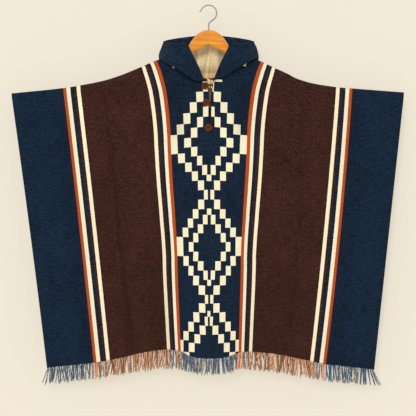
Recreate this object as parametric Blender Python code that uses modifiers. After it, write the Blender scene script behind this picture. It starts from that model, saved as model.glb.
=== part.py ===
"""Hooded Andean poncho hanging on a wooden hanger.

One wide woven cloth is folded over the hanger, so that a front half and a back half hang down
from the shoulders. A slit in the front opens the neck, buttons and cord loops close it, and a
lined hood is sewn round the neck and hangs down behind. Both hems end in a fringe.

Frame: the origin is the point of the wire hook that rests on a rod. +Z is up, -Y is the side
that the front half faces, and X runs along the shoulders. Sizes are in millimetres, and one
helper turns them into Blender's metres.
"""

import math
from collections import namedtuple

import bmesh
import bpy
from mathutils import Vector

FRONT, BACK = -1, 1  # the sign of Y on each side of the hanger
SEAM_GAP = 0.3  # between two pieces that are sewn or rest on each other

# The body cloth. `across` runs from the middle to a side edge, `down` from the shoulder fold.
CLOTH_WALL = 2.0
HALF_WIDTH = 572.0
FOLD_RADIUS = 9.0  # of the fold over the hanger
FOLD_TURNS = (0, 6, 32, 60, 90)  # degrees round it
MIDDLE_HALF_WIDTH = 60.0  # the part of the cloth that the slit can open
HEM_STANDOFF = 28.0  # how far each half hangs from the middle plane at the hem
SIDE_STANDOFF = 15.0  # and at its side edges
STANDOFF_GROWTH = 0.8  # below 1, the halves part early and then hang straighter
STRETCH = 0.042  # how much lower the weave lies halfway down than an even spacing
SPREAD_FADE = 105.0  # the neck pushes the cloth aside, less and less over this length

WarpLine = namedtuple("WarpLine", "across shoulder_x shoulder_z spread hem_x hem_z")
WARP_LINES = (
    WarpLine(-572, -590, -264, 0, -487, -1086),  # left side edge
    WarpLine(-418, -434, -248, 0, -347, -1070),  # outer stripes, outer edge
    WarpLine(-367, -384, -240, 0, -298, -1062),  # outer stripes, inner edge
    WarpLine(-285, -312, -225, -10, -232, -1048),  # just outside the hanger's tip
    WarpLine(-235, -262, -210, -18, -190, -1038),
    WarpLine(-162, -200, -186, -34, -127, -1031),  # inner stripes, outer edge
    WarpLine(-113, -154, -169, -34, -86, -1038),  # inner stripes, inner edge
    WarpLine(-60, -84, -149, -20, -50, -1052),
    WarpLine(0, 0, -140, 0, 1, -1059),  # middle
    WarpLine(60, 84, -149, 20, 54, -1053),
    WarpLine(113, 154, -169, 34, 92, -1041),
    WarpLine(162, 200, -187, 34, 133, -1038),
    WarpLine(235, 262, -213, 18, 196, -1043),
    WarpLine(285, 310, -229, 10, 239, -1051),
    WarpLine(367, 379, -243, 0, 308, -1065),
    WarpLine(418, 430, -248, 0, 356, -1075),
    WarpLine(572, 586, -261, 0, 497, -1091),  # right side edge
)

ClothMesh = namedtuple("ClothMesh", "columns_a_side rows_down")
CLOTH_MESH = {FRONT: ClothMesh(14, 16), BACK: ClothMesh(12, 12)}

# Folds that hang down the cloth: ridges stand out from it, troughs (negative) sink in.
Fold = namedtuple("Fold", "across half_width hem_depth reach")
FRONT_FOLDS = (
    Fold(-520, 46, -5, 0.75),
    Fold(-445, 44, 6, 0.65),
    Fold(-350, 38, 7, 0.80),
    Fold(-284, 20, -9, 0.97),
    Fold(-212, 44, 8, 0.70),
    Fold(-136, 34, -15, 0.75),
    Fold(0, 74, 13, 0.62),
    Fold(140, 34, -14, 0.72),
    Fold(216, 42, 9, 0.75),
    Fold(281, 20, -8, 0.95),
    Fold(352, 42, 6, 0.70),
    Fold(470, 48, -5, 0.55),
)
BACK_FOLDS = (
    Fold(-500, 50, 6, 0.60),
    Fold(-390, 44, -8, 0.80),
    Fold(-280, 30, -8, 0.92),
    Fold(-180, 52, 11, 0.75),
    Fold(-70, 40, -12, 0.68),
    Fold(40, 56, 10, 0.70),
    Fold(150, 40, -13, 0.74),
    Fold(240, 44, 8, 0.66),
    Fold(290, 28, -9, 0.94),
    Fold(400, 48, 7, 0.72),
    Fold(510, 50, -6, 0.60),
)

# The neck hole is an oval cut in the flat cloth, and the slit runs down from it in front.
NECK_HALF_WIDTH = 70.0
NECK_DEPTH = {FRONT: 78.0, BACK: 74.0}
NECK_TURNS = (0, 20, 40, 58, 73, 83, 90)  # degrees round each quarter of the hole
SLIT_END = 205.0  # below the shoulder fold
SLIT_OPENING = 31.0  # half the slit's width, carried up to the shoulder
SLIT_TAPER = 2.2
SLIT_CLOSED = 0.5  # half the slit's width where its edges meet
SLIT_SHIFT = 4.5  # the open slit lies a little to the right
SLIT_SHIFT_FADE = 300.0  # and this far down it is back in the middle

# The fringe: a narrow strip below each hem, and strands that hang from it.
STRIP_HEIGHT = 3.0
STRAND_LENGTH = 40.0
STRAND_LENGTH_CHANGE = 0.07  # longer or shorter than that, as a share
STRAND_TIP_SHARE = 0.45  # of its width at the strip
STRAND_SWAY = 2.2  # of the tips, along the hem and across it
CORNER_FLARE = 5.0  # of the tips at the cloth's corners
STRANDS = {FRONT: 78, BACK: 62}

# The hood lies open round the neck. Each section runs from the neck seam, over its lowest or
# widest place, to the rim. These are for the left half; the right half mirrors them.
HOOD_WALL = 2.4
LINING_WALL = 1.0
Section = namedtuple("Section", "seam_turn low rim")  # seam_turn: degrees round the neck hole
HOOD_SECTIONS = (
    Section(2, (-19, -25, -227), (-17, -29, -218)),  # front corner
    Section(14, (-44, -43, -222), (-34, -42, -178)),
    Section(30, (-70, -55, -203), (-54, -52, -138)),
    Section(48, (-100, -53, -182), (-71, -54, -118)),  # top of the face opening
    Section(68, (-128, -38, -164), (-105, -46, -117)),
    Section(90, (-144, -4, -155), (-132, -14, -108)),  # over the shoulder
    Section(101, (-145, 20, -172), (-131, 12, -104)),
    Section(116, (-135, 38, -220), (-118, 40, -95)),
    Section(146, (-89, 50, -312), (-68, 66, -83)),
    Section(180, (0, 50, -352), (0, 78, -77)),  # centre back
)
RIGHT_ROLL_RAISED = 10.0  # the front roll lies higher on the right than on the left
HOOD_COLUMNS = (
    *(0, 0.5, 1, 1.5, 2, 2.5, 3, 3.5, 4, 4.3, 4.57, 4.71, 4.86, 5),  # to the shoulder
    *(5.3, 5.6, 5.85, 6.2, 6.6, 7, 7.5, 8, 8.5, 8.93, 9),  # on to the centre back
)
HOOD_ROWS = (0, 0.12, 0.26, 0.37, 0.45, 0.53, 0.66, 0.84, 1)  # from seam to rim
LOW_AT = 0.45  # where the low place comes between them
POUCH_STARTS, POUCH_BLEND = 86.0, 34.0  # degrees round the neck hole
POUCH_LEVEL = 0.85  # how level the hood's low place is behind the neck
POUCH_ROUNDNESS = 2.8  # how far the cloth runs before it turns up there
LINING_ROWS = slice(1, 8)
LINING_COLUMNS = slice(2, None)
LINING_GAP = 0.8

# The underlap closes the slit from behind, sewn under its left edge.
UNDERLAP_WALL = 1.2
UNDERLAP_LEFT, UNDERLAP_RIGHT = -16.0, 20.0
UNDERLAP_TOP, UNDERLAP_BOTTOM = 90.0, 230.0

# Buttons on the left edge of the slit, and the cord loops on its right edge.
Button = namedtuple("Button", "x down")
BUTTONS = (Button(-11.0, 97), Button(-7.0, 145.5), Button(-1.0, 217))
BUTTON_RADIUS = 11.0
BUTTON_THICKNESS = 4.0
BUTTON_RIM = 2.2  # width of the raised rim
BUTTON_DISH = 1.2  # depth of the face inside the rim
BUTTON_EDGE = 1.0  # width of its bevelled edges
BUTTON_SIDES = 12
SHANK_RADIUS, SHANK_HEIGHT = 2.5, 2.6
LOOP_CORD_RADIUS = 0.9
LOOP_END_INSET = 7.0  # from the slit's right edge to the loop's ends

# The hanger: a flat wooden body, cut to a crown in the middle, and a wire hook.
WOOD_THICKNESS = 12.0
WOOD_TIP = 250.0
WOOD_ROUNDING = 2.2
ARM_HEIGHT = 23.0
TIP_RADIUS = 8.0
WOOD_SEAT = 5.1  # from the middle of the cloth's wall down to the wood, whose edges carry it
CrownPoint = namedtuple("CrownPoint", "x top bottom")
CROWN = (
    CrownPoint(0, -73, -115),
    CrownPoint(18, -75, -124),
    CrownPoint(34, -81.5, -132),
    CrownPoint(46, -91, -138.5),
    CrownPoint(55, -103.5, -144),
    CrownPoint(63, -119.5, -149.5),
    CrownPoint(75, -137.5, -158.5),
    CrownPoint(86, -152, -168),
    CrownPoint(95, -160, -176),
)
CROWN_BLEND = 60.0  # past the crown, the arm's shape is reached over this length
WIRE_RADIUS = 1.75
HOOK_RADIUS = 24.0  # of the wire's middle line
HOOK_START, HOOK_END = 158.0, -38.0  # degrees, from the open end over the top
HOOK_TIP = (-27.5, 0, -18.0)  # the open end is bent outward
RING_STEPS, BEND_STEPS = 16, 6
BEND_REACH = 1.35  # how widely the wire bends from the ring into the stem
STEM_HEIGHT = 14.0  # of the straight stem above the wood
SOCKET_DEPTH = 18.0
SOCKET_GAP = 0.3

NAVY = (0.011, 0.022, 0.042, 1.0)
BROWN_WOOD = (0.13, 0.038, 0.016, 1.0)
CREAM = (0.68, 0.52, 0.30, 1.0)
HANGER_WOOD = (0.80, 0.31, 0.055, 1.0)
STEEL = (0.55, 0.55, 0.56, 1.0)
YARN = (0.22, 0.23, 0.24, 1.0)
CORD_BROWN = (0.03, 0.018, 0.012, 1.0)


def metres(point):
    """A point or length in millimetres, as Blender's metres."""
    return Vector(point) * 0.001 if hasattr(point, "__len__") else point * 0.001


def on_circle(degrees):
    """The point of the unit circle in the XZ plane at this angle from +X."""
    return Vector((math.cos(math.radians(degrees)), 0, math.sin(math.radians(degrees))))


def ease(x):
    """0 below 0, 1 above 1, and a smooth rise between."""
    x = min(max(x, 0.0), 1.0)
    return x * x * (3 - 2 * x)


def hermite(start, end, start_slope, end_slope, span, t):
    """A cubic from start to end, over this span, read at the share t of it."""
    return (
        start * (1 + 2 * t) * (1 - t) ** 2
        + start_slope * (span * t * (1 - t) ** 2)
        + end * (t * t * (3 - 2 * t))
        + end_slope * (span * t * t * (t - 1))
    )


def through(places, values, at):
    """A smooth curve through the values at these places, which rise."""
    at = min(max(at, places[0]), places[-1])
    last = len(places) - 2
    i = min(last, max(k for k in range(len(places)) if places[k] <= at))

    def slope(k):
        before, after = max(k - 1, 0), min(k + 1, len(places) - 1)
        return (values[after] - values[before]) / (places[after] - places[before])

    span = places[i + 1] - places[i]
    share = (at - places[i]) / span
    return hermite(values[i], values[i + 1], slope(i), slope(i + 1), span, share)


def warp_value(field, across):
    """One column of WARP_LINES, read between its rows."""
    places = [line.across for line in WARP_LINES]
    return through(places, [getattr(line, field) for line in WARP_LINES], across)


def slit_half_width(down):
    """How far each edge of the front slit stands from the cloth's middle."""
    if down > SLIT_END:
        return 0.0
    return max(SLIT_CLOSED, SLIT_OPENING * (1 - down / SLIT_END) ** SLIT_TAPER)


def cloth_length(across):
    """From the shoulder fold to the hem, along the cloth."""
    return warp_value("shoulder_z", across) - warp_value("hem_z", across)


def fold_relief(side, across, share):
    """How far the hanging folds bring the cloth out at this place."""
    folds = FRONT_FOLDS if side == FRONT else BACK_FOLDS
    relief = 0.0
    for fold in folds:
        shape = math.exp(-(((across - fold.across) / fold.half_width) ** 2))
        relief += fold.hem_depth * shape * ease((share - 1 + fold.reach) / fold.reach)
    return relief


def cloth_point(side, across, down, edge=0):
    """A point on the middle of the body cloth's wall. edge -1 or 1 picks an edge of the slit."""
    length = cloth_length(across)
    share = down / length
    share += STRETCH * share * (1 - share)
    turn = min(down / FOLD_RADIUS, math.pi / 2)
    fold_drop = FOLD_RADIUS * (1 - math.sin(turn) - math.cos(turn))
    spread = warp_value("spread", across) * math.exp(-down / SPREAD_FADE)
    x = (
        (warp_value("shoulder_x", across) - warp_value("spread", across)) * (1 - share)
        + warp_value("hem_x", across) * share
    )
    if side == FRONT:
        hand = edge or (1 if across > 0 else -1)
        shift = SLIT_SHIFT * (1 - ease(down / SLIT_SHIFT_FADE))
        near_middle = 1 - ease(abs(across) / MIDDLE_HALF_WIDTH)
        x += spread * (1 - near_middle) + (hand * slit_half_width(down) + shift) * near_middle
    else:
        x += spread
    z = warp_value("shoulder_z", across) - length * share - fold_drop * (1 - share)
    standoff = SIDE_STANDOFF + (HEM_STANDOFF - SIDE_STANDOFF) * (
        1 - (across / HALF_WIDTH) ** 2
    )
    out = FOLD_RADIUS * math.sin(turn) + (standoff - FOLD_RADIUS) * share**STANDOFF_GROWTH
    return Vector((x, side * (out + fold_relief(side, across, share)), z))


def cloth_normal(side, across, down, edge=0):
    """The direction that points out of the garment at this place of the cloth."""
    step = 1.5
    toward = -1 if across > 0 else 1
    low = max(down - step, 0.0)
    along_across = (
        cloth_point(side, across + toward * step, down, edge)
        - cloth_point(side, across, down, edge)
    ) * toward
    along_down = cloth_point(side, across, down + step, edge) - cloth_point(
        side, across, low, edge
    )
    return (along_across.cross(along_down) * side).normalized()


def raised(side, across, down, height, edge=0):
    """A point this far out from the middle of the cloth's wall (negative is inward)."""
    return cloth_point(side, across, down, edge) + height * cloth_normal(
        side, across, down, edge
    )


def neck_edge(side, across):
    """How far below the shoulder the neck hole reaches at this place, 0 outside it."""
    reach = min(abs(across) / NECK_HALF_WIDTH, 1.0)
    return NECK_DEPTH[side] * math.sqrt(1 - reach * reach)


def material(name, colour, roughness, metallic=0.0):
    """A plain Principled material."""
    made = bpy.data.materials.new(name)
    made.use_nodes = True
    shader = made.node_tree.nodes["Principled BSDF"]
    shader.inputs["Base Color"].default_value = colour
    shader.inputs["Roughness"].default_value = roughness
    shader.inputs["Metallic"].default_value = metallic
    made.diffuse_color = colour
    return made


def clear_scene():
    """Removes what the scene holds, and makes the collections for the parts and the cutters."""
    for thing in list(bpy.data.objects):
        bpy.data.objects.remove(thing)
    collections = []
    for name in ("poncho_on_hanger", "cutters"):
        made = bpy.data.collections.new(name)
        bpy.context.scene.collection.children.link(made)
        collections.append(made)
    collections[1].hide_render = True
    return collections


def add_object(name, data, finish, collection):
    """Links an object that holds this mesh or curve."""
    made = bpy.data.objects.new(name, data)
    if finish is not None:
        data.materials.append(finish)
    collection.objects.link(made)
    return made


def grid_sheet(columns, rows, place):
    """A bmesh grid whose corners are placed by place(column, row)."""
    bm = bmesh.new()
    across, along = len(columns) - 1, len(rows) - 1
    bmesh.ops.create_grid(bm, x_segments=across, y_segments=along, size=0.5)
    for vert in bm.verts:
        column = columns[round((vert.co.x + 0.5) * across)]
        row = rows[round((vert.co.y + 0.5) * along)]
        vert.co = metres(place(column, row))
    return bm


def join_sheets(sheets):
    """One bmesh from several, with the points that meet merged."""
    whole = bmesh.new()
    for sheet in sheets:
        mesh = bpy.data.meshes.new("half")
        sheet.to_mesh(mesh)
        sheet.free()
        whole.from_mesh(mesh)
        bpy.data.meshes.remove(mesh)
    bmesh.ops.remove_doubles(whole, verts=whole.verts, dist=1e-6)
    return whole


def wall_object(name, sheet, wall, finish, collection):
    """An object whose open sheet is given a wall, half on each side."""
    bmesh.ops.triangulate(sheet, faces=sheet.faces, quad_method="FIXED")
    bmesh.ops.recalc_face_normals(sheet, faces=sheet.faces)
    mesh = bpy.data.meshes.new(name)
    sheet.to_mesh(mesh)
    sheet.free()
    mesh.shade_smooth()
    made = add_object(name, mesh, finish, collection)
    solidify = made.modifiers.new("wall", "SOLIDIFY")
    solidify.thickness = metres(wall)
    solidify.offset = 0.0
    return made


def side_columns(hand, count):
    """Places across one half of the cloth, closer together at the neck hole."""
    neck = [NECK_HALF_WIDTH * math.sin(math.radians(a)) for a in NECK_TURNS]
    outer = HALF_WIDTH - NECK_HALF_WIDTH
    rest = [NECK_HALF_WIDTH + outer * (k + 1) / count for k in range(count)]
    return [hand * place for place in neck + rest]


def body_half(side, name, finish, collection):
    """The front or back half of the body cloth, from the shoulder fold to the hem."""
    size = CLOTH_MESH[side]
    fold_rows = [SEAM_GAP + FOLD_RADIUS * math.radians(turn) for turn in FOLD_TURNS]
    middle = cloth_length(0)
    below = middle - fold_rows[-1]
    steps = range(1, size.rows_down + 1)
    rows = fold_rows + [fold_rows[-1] + below * k / size.rows_down for k in steps]

    def place_with(edge):
        def place(across, row):
            top = neck_edge(side, across)
            down = top + (cloth_length(across) - top) * row / middle
            return cloth_point(side, across, down, edge)

        return place

    halves = [
        grid_sheet(side_columns(hand, size.columns_a_side), rows, place_with(hand))
        for hand in (-1, 1)
    ]
    return wall_object(name, join_sheets(halves), CLOTH_WALL, finish, collection)


def hem_point(side, across):
    """A point on the hem, which is straight between the cloth's columns."""
    places = side_columns(math.copysign(1, across), CLOTH_MESH[side].columns_a_side)
    i = max(k for k in range(len(places) - 1) if abs(places[k]) <= abs(across))
    share = (across - places[i]) / (places[i + 1] - places[i])
    ends = [cloth_point(side, place, cloth_length(place)) for place in places[i : i + 2]]
    return ends[0] * (1 - share) + ends[1] * share


def fringe_point(side, column, row):
    """A corner of the fringe: row 0 and 1 are the strip's edges, row 2 the strands' tips."""
    cells = 2 * STRANDS[side] - 1
    hem = hem_point(side, HALF_WIDTH * (2 * column / cells - 1))
    if row < 2:
        return hem - Vector((0, 0, SEAM_GAP + STRIP_HEIGHT * row))
    strand = column // 2
    middle = HALF_WIDTH * (2 * (2 * strand + 0.5) / cells - 1)
    root = hem_point(side, middle)
    tip = root + (hem - root) * STRAND_TIP_SHARE
    tip.x += STRAND_SWAY * math.sin(2.4 * strand) + CORNER_FLARE * (middle / HALF_WIDTH) ** 7
    tip.y += STRAND_SWAY * math.sin(1.7 * strand)
    length = STRAND_LENGTH * (1 + STRAND_LENGTH_CHANGE * (math.sin(3.1 * strand) - 1))
    tip.z = root.z - SEAM_GAP - STRIP_HEIGHT - length
    return tip


def fringe(side, name, finish, collection):
    """A strip below the hem with strands that hang from it, made as a comb-shaped sheet."""
    columns = list(range(2 * STRANDS[side]))
    sheet = grid_sheet(columns, [0, 1, 2], lambda column, row: (column, row, 0))
    between = []
    for face in sheet.faces:
        middle = face.calc_center_median() / metres(1.0)
        if middle.y > 1 and int(middle.x) % 2:
            between.append(face)
    bmesh.ops.delete(sheet, geom=between, context="FACES")
    for vert in sheet.verts:
        column, row, _ = (round(place) for place in vert.co / metres(1.0))
        vert.co = metres(fringe_point(side, column, row))
    return wall_object(name, sheet, CLOTH_WALL, finish, collection)


def hood_section(at, hand):
    """The seam, low place and rim at this place between two rows of HOOD_SECTIONS."""
    beyond = HOOD_SECTIONS[-2]
    mirror = Vector((-1, 1, 1))
    sections = [
        *HOOD_SECTIONS,
        Section(360 - beyond.seam_turn, mirror * Vector(beyond.low), mirror * Vector(beyond.rim)),
    ]
    places = list(range(len(sections)))
    turn = through(places, [row.seam_turn for row in sections], at)
    low = through(places, [Vector(row.low) for row in sections], at)
    rim = through(places, [Vector(row.rim) for row in sections], at)
    if hand > 0:
        low.z += RIGHT_ROLL_RAISED * ease(turn / 20) * (1 - ease((turn - 30) / 50))
    across = -NECK_HALF_WIDTH * math.sin(math.radians(turn))
    side = FRONT if turn < 90 else BACK
    down = NECK_DEPTH[side] * abs(math.cos(math.radians(turn)))
    lift = CLOTH_WALL / 2 + SEAM_GAP + HOOD_WALL / 2
    return raised(side, across, down, lift, -1), low, rim, turn


def hood_point(at, rise, hand):
    """A point on the middle of a hood half's wall, drawn on the left. rise 0 is the seam."""
    seam, low, rim, turn = hood_section(at, hand)
    turning = rim - seam
    behind = ease((turn - POUCH_STARTS) / POUCH_BLEND)
    turning.z *= 1 - POUCH_LEVEL * behind
    turning *= 1 + (POUCH_ROUNDNESS - 1) * behind
    if rise < LOW_AT:
        falling = (low - seam) / LOW_AT
        return hermite(seam, low, falling, turning, LOW_AT, rise / LOW_AT)
    rising = (rim - low) / (1 - LOW_AT)
    return hermite(low, rim, turning, rising, 1 - LOW_AT, (rise - LOW_AT) / (1 - LOW_AT))


def hood_inward(at, rise, hand):
    """The direction from the hood's wall towards the inside of the hood."""
    step = 0.02
    a0, a1 = max(at - step, 0), at + step
    r0, r1 = max(rise - step, 0), min(rise + step, 1)
    along = hood_point(a1, rise, hand) - hood_point(a0, rise, hand)
    up = hood_point(at, r1, hand) - hood_point(at, r0, hand)
    return along.cross(up).normalized()


def hood_half(hand, name, finish, collection):
    """One half of the hood's outer cloth."""

    def place(at, rise):
        point = hood_point(at, rise, hand)
        point.x = hand * max(abs(point.x), SEAM_GAP)
        return point

    sheet = grid_sheet(HOOD_COLUMNS, HOOD_ROWS, place)
    return wall_object(name, sheet, HOOD_WALL, finish, collection)


def lining_half(hand, name, finish, collection):
    """One half of the hood's lining, just inside the outer cloth."""
    inset = HOOD_WALL / 2 + LINING_GAP + LINING_WALL / 2

    def place(at, rise):
        point = hood_point(at, rise, hand) + inset * hood_inward(at, rise, hand)
        point.x = hand * max(abs(point.x), SEAM_GAP)
        return point

    sheet = grid_sheet(HOOD_COLUMNS[LINING_COLUMNS], HOOD_ROWS[LINING_ROWS], place)
    return wall_object(name, sheet, LINING_WALL, finish, collection)


def underlap(name, finish, collection):
    """The strip of cloth behind the slit."""
    inset = CLOTH_WALL / 2 + SEAM_GAP + UNDERLAP_WALL / 2
    columns = [UNDERLAP_LEFT, 0.5 * UNDERLAP_LEFT, 0.0, 0.5 * UNDERLAP_RIGHT, UNDERLAP_RIGHT]
    drop = UNDERLAP_BOTTOM - UNDERLAP_TOP
    rows = [UNDERLAP_TOP + drop * k / 8 for k in range(9)]

    def place(x, down):
        backing = cloth_point(FRONT, 0, down, 1)
        backing.y += inset
        return Vector((x, backing.y, backing.z))

    return wall_object(
        name, grid_sheet(columns, rows, place), UNDERLAP_WALL, finish, collection
    )


def cylinder(radius, height, sides):
    """A bmesh cylinder standing on the XY plane, in metres."""
    bm = bmesh.new()
    bmesh.ops.create_cone(
        bm,
        cap_ends=True,
        segments=sides,
        radius1=metres(radius),
        radius2=metres(radius),
        depth=metres(height),
    )
    bmesh.ops.translate(bm, verts=bm.verts, vec=(0, 0, metres(height / 2)))
    return bm


def button_mesh():
    """A turned button, its shank down and its dished face up."""
    back, face = SHANK_HEIGHT, SHANK_HEIGHT + BUTTON_THICKNESS
    inner = BUTTON_RADIUS - BUTTON_RIM
    profile = (
        (0, 0),
        (SHANK_RADIUS, 0),
        (SHANK_RADIUS, back),
        (BUTTON_RADIUS - BUTTON_EDGE, back),
        (BUTTON_RADIUS, back + BUTTON_EDGE),
        (BUTTON_RADIUS, face - BUTTON_EDGE),
        (BUTTON_RADIUS - BUTTON_EDGE, face),
        (inner, face),
        (inner - BUTTON_EDGE, face - BUTTON_DISH),
        (0, face - BUTTON_DISH),
    )
    bm = bmesh.new()
    verts = [bm.verts.new(metres((r, 0, z))) for r, z in profile]
    edges = [bm.edges.new(pair) for pair in zip(verts, verts[1:])]
    bmesh.ops.spin(
        bm,
        geom=verts + edges,
        axis=(0, 0, 1),
        cent=(0, 0, 0),
        angle=2 * math.pi,
        steps=BUTTON_SIDES,
        use_merge=True,
    )
    bmesh.ops.remove_doubles(bm, verts=bm.verts, dist=1e-6)
    bmesh.ops.recalc_face_normals(bm, faces=bm.faces)
    mesh = bpy.data.meshes.new("button")
    bm.to_mesh(mesh)
    bm.free()
    return mesh


def cutter(name, bm, collection):
    """A hidden object that a Boolean cuts with."""
    mesh = bpy.data.meshes.new(name)
    bm.to_mesh(mesh)
    bm.free()
    made = add_object(name, mesh, None, collection)
    made.hide_render = True
    made.display_type = "WIRE"
    return made


def cut(target, tool):
    """Takes the tool's shape out of the target."""
    boolean = target.modifiers.new("cut_" + tool.name, "BOOLEAN")
    boolean.operation = "DIFFERENCE"
    boolean.object = tool


def button_seat(button):
    """Where a button's shank meets the cloth, and the direction it faces."""
    cloth = cloth_point(FRONT, -BUTTON_RADIUS, button.down, -1)
    facing = cloth_normal(FRONT, -BUTTON_RADIUS, button.down, -1)
    foot = Vector((button.x, cloth.y, cloth.z))
    return foot + facing * (CLOTH_WALL / 2 + SEAM_GAP), facing


def buttons(finish, collection):
    """The three buttons, each standing on the cloth."""
    for number, button in enumerate(BUTTONS, 1):
        foot, facing = button_seat(button)
        made = add_object(f"button_{number}", button_mesh(), finish, collection)
        made.location = metres(foot)
        made.rotation_mode = "QUATERNION"
        made.rotation_quaternion = facing.to_track_quat("Z", "Y")


def tube(name, points, radius, finish, collection):
    """A round wire or cord through these points, with filled ends, as a closed mesh."""
    curve = bpy.data.curves.new(name, "CURVE")
    curve.dimensions = "3D"
    curve.bevel_depth = metres(radius)
    curve.bevel_resolution = 2
    curve.use_fill_caps = True
    spline = curve.splines.new("POLY")
    spline.points.add(len(points) - 1)
    for slot, point in zip(spline.points, points):
        slot.co = (*metres(point), 1.0)
    return add_object(name, curve, finish, collection)


def button_loops(finish, collection):
    """A cord loop from the slit's right edge round each button's shank."""
    bend = SHANK_RADIUS + SEAM_GAP + LOOP_CORD_RADIUS
    turns = range(90, 271, 30)
    for number, button in enumerate(BUTTONS, 1):
        foot, facing = button_seat(button)
        right = cloth_point(FRONT, 0, button.down, 1).x + LOOP_END_INSET
        height = foot + facing * (LOOP_CORD_RADIUS + SEAM_GAP / 2)
        around = [bend * on_circle(turn) for turn in turns]
        ends = [Vector((right - foot.x, 0, hand * bend)) for hand in (1, -1)]
        path = [height + place for place in (ends[0], *around, ends[1])]
        tube(f"button_loop_{number}", path, LOOP_CORD_RADIUS, finish, collection)


def wood_edges(x):
    """The top and bottom of the hanger's wood at this distance from the middle."""
    crown_x = [point.x for point in CROWN]
    if x <= CROWN[-1].x:
        top = through(crown_x, [point.top for point in CROWN], x)
        bottom = through(crown_x, [point.bottom for point in CROWN], x)
        return top, bottom
    outward = ease((x - CROWN[-1].x) / CROWN_BLEND)
    dip = shoulder_height(CROWN[-1].x) - WOOD_SEAT - CROWN[-1].top
    top = shoulder_height(x) - WOOD_SEAT - dip * (1 - outward)
    crown_height = CROWN[-1].top - CROWN[-1].bottom
    bottom = top - crown_height * (1 - outward) - ARM_HEIGHT * outward
    end = max(0.0, (x - (WOOD_TIP - TIP_RADIUS)) / TIP_RADIUS)
    pinch = TIP_RADIUS * (1 - math.sqrt(max(0.0, 1 - end * end)))
    return top - pinch, bottom + pinch


def shoulder_height(x):
    """The lower of the two shoulders of the cloth, this far from the middle."""
    heights = []
    for hand in (-1, 1):
        lines = [line for line in WARP_LINES if line.across * hand >= MIDDLE_HALF_WIDTH]
        lines.sort(key=lambda line: abs(line.shoulder_x))
        places = [abs(line.shoulder_x) for line in lines]
        heights.append(through(places, [line.shoulder_z for line in lines], x))
    return min(heights)


def hanger_wood(name, finish, collection, cutters):
    """The flat wooden body, with a socket in its crown for the hook."""
    crown = [point.x for point in CROWN]
    shoulder = WOOD_TIP - TIP_RADIUS - CROWN[-1].x
    arm = [CROWN[-1].x + shoulder * (k + 1) / 7 for k in range(7)]
    tip = [WOOD_TIP - TIP_RADIUS * (1 - math.sin(math.radians(a))) for a in (35, 90)]
    half = crown + arm + tip
    columns = [-x for x in reversed(half[1:])] + half

    def place(x, row):
        top, bottom = wood_edges(abs(x))
        return Vector((x, 0, top + (bottom - top) * row))

    made = wall_object(
        name, grid_sheet(columns, [0, 1], place), WOOD_THICKNESS, finish, collection
    )
    bevel = made.modifiers.new("rounding", "BEVEL")
    bevel.width = metres(WOOD_ROUNDING)
    bevel.segments = 2
    bevel.limit_method = "ANGLE"
    bevel.angle_limit = math.radians(60)
    drill = cylinder(WIRE_RADIUS + SOCKET_GAP, 2 * SOCKET_DEPTH, 12)
    bmesh.ops.translate(drill, verts=drill.verts, vec=metres((0, 0, CROWN[0].top - SOCKET_DEPTH)))
    cut(made, cutter("hook_socket", drill, cutters))
    return made


def hanger_hook(name, finish, collection):
    """The wire hook: an open ring over a short straight stem."""
    centre = Vector((0, 0, WIRE_RADIUS - HOOK_RADIUS))
    sweep = HOOK_END - HOOK_START
    turns = [HOOK_START + sweep * k / RING_STEPS for k in range(RING_STEPS + 1)]
    ring = [centre + HOOK_RADIUS * on_circle(turn) for turn in turns]
    stem_top = Vector((0, 0, CROWN[0].top + STEM_HEIGHT))
    reach = (ring[-1] - stem_top).length * BEND_REACH
    leaving = on_circle(HOOK_END - 90) * reach
    arriving = Vector((0, 0, -reach))
    steps = range(1, BEND_STEPS + 1)
    bend = [hermite(ring[-1], stem_top, leaving, arriving, 1, k / BEND_STEPS) for k in steps]
    foot = Vector((0, 0, CROWN[0].top - SOCKET_DEPTH + SOCKET_GAP))
    return tube(name, [Vector(HOOK_TIP), *ring, *bend, foot], WIRE_RADIUS, finish, collection)


def main():
    parts, cutters = clear_scene()
    wool = material("navy_wool", NAVY, 0.9)
    lining = material("cream_lining", CREAM, 0.85)
    yarn = material("fringe_yarn", YARN, 0.9)
    button_wood = material("button_wood", BROWN_WOOD, 0.5)
    cord = material("loop_cord", CORD_BROWN, 0.8)
    hanger = material("hanger_wood", HANGER_WOOD, 0.4)
    steel = material("hook_steel", STEEL, 0.3, 1.0)

    body_half(FRONT, "poncho_front", wool, parts)
    body_half(BACK, "poncho_back", wool, parts)
    fringe(FRONT, "fringe_front", yarn, parts)
    fringe(BACK, "fringe_back", yarn, parts)
    hood_half(-1, "hood_left", wool, parts)
    hood_half(1, "hood_right", wool, parts)
    lining_half(-1, "lining_left", lining, parts)
    lining_half(1, "lining_right", lining, parts)
    underlap("slit_underlap", lining, parts)
    buttons(button_wood, parts)
    button_loops(cord, parts)
    hanger_wood("hanger_wood", hanger, parts, cutters)
    hanger_hook("hanger_hook", steel, parts)


main()
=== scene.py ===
"""Looks of a hooded Andean poncho that hangs on a wooden hanger.

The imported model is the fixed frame. Every cloth piece is woven again here on the same form with
a finer mesh, its stripes, its charted diamonds and its creases, and the fringe, buttons, cords,
hanger and hook get their real detail. Sizes are in millimetres, and one helper turns them into
Blender's metres. -Y is the side that the front half faces, and Z is 0 at the top of the hook.
"""

import math
import random
from collections import namedtuple
from functools import lru_cache

import bmesh
import bpy
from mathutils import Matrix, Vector, noise


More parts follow.
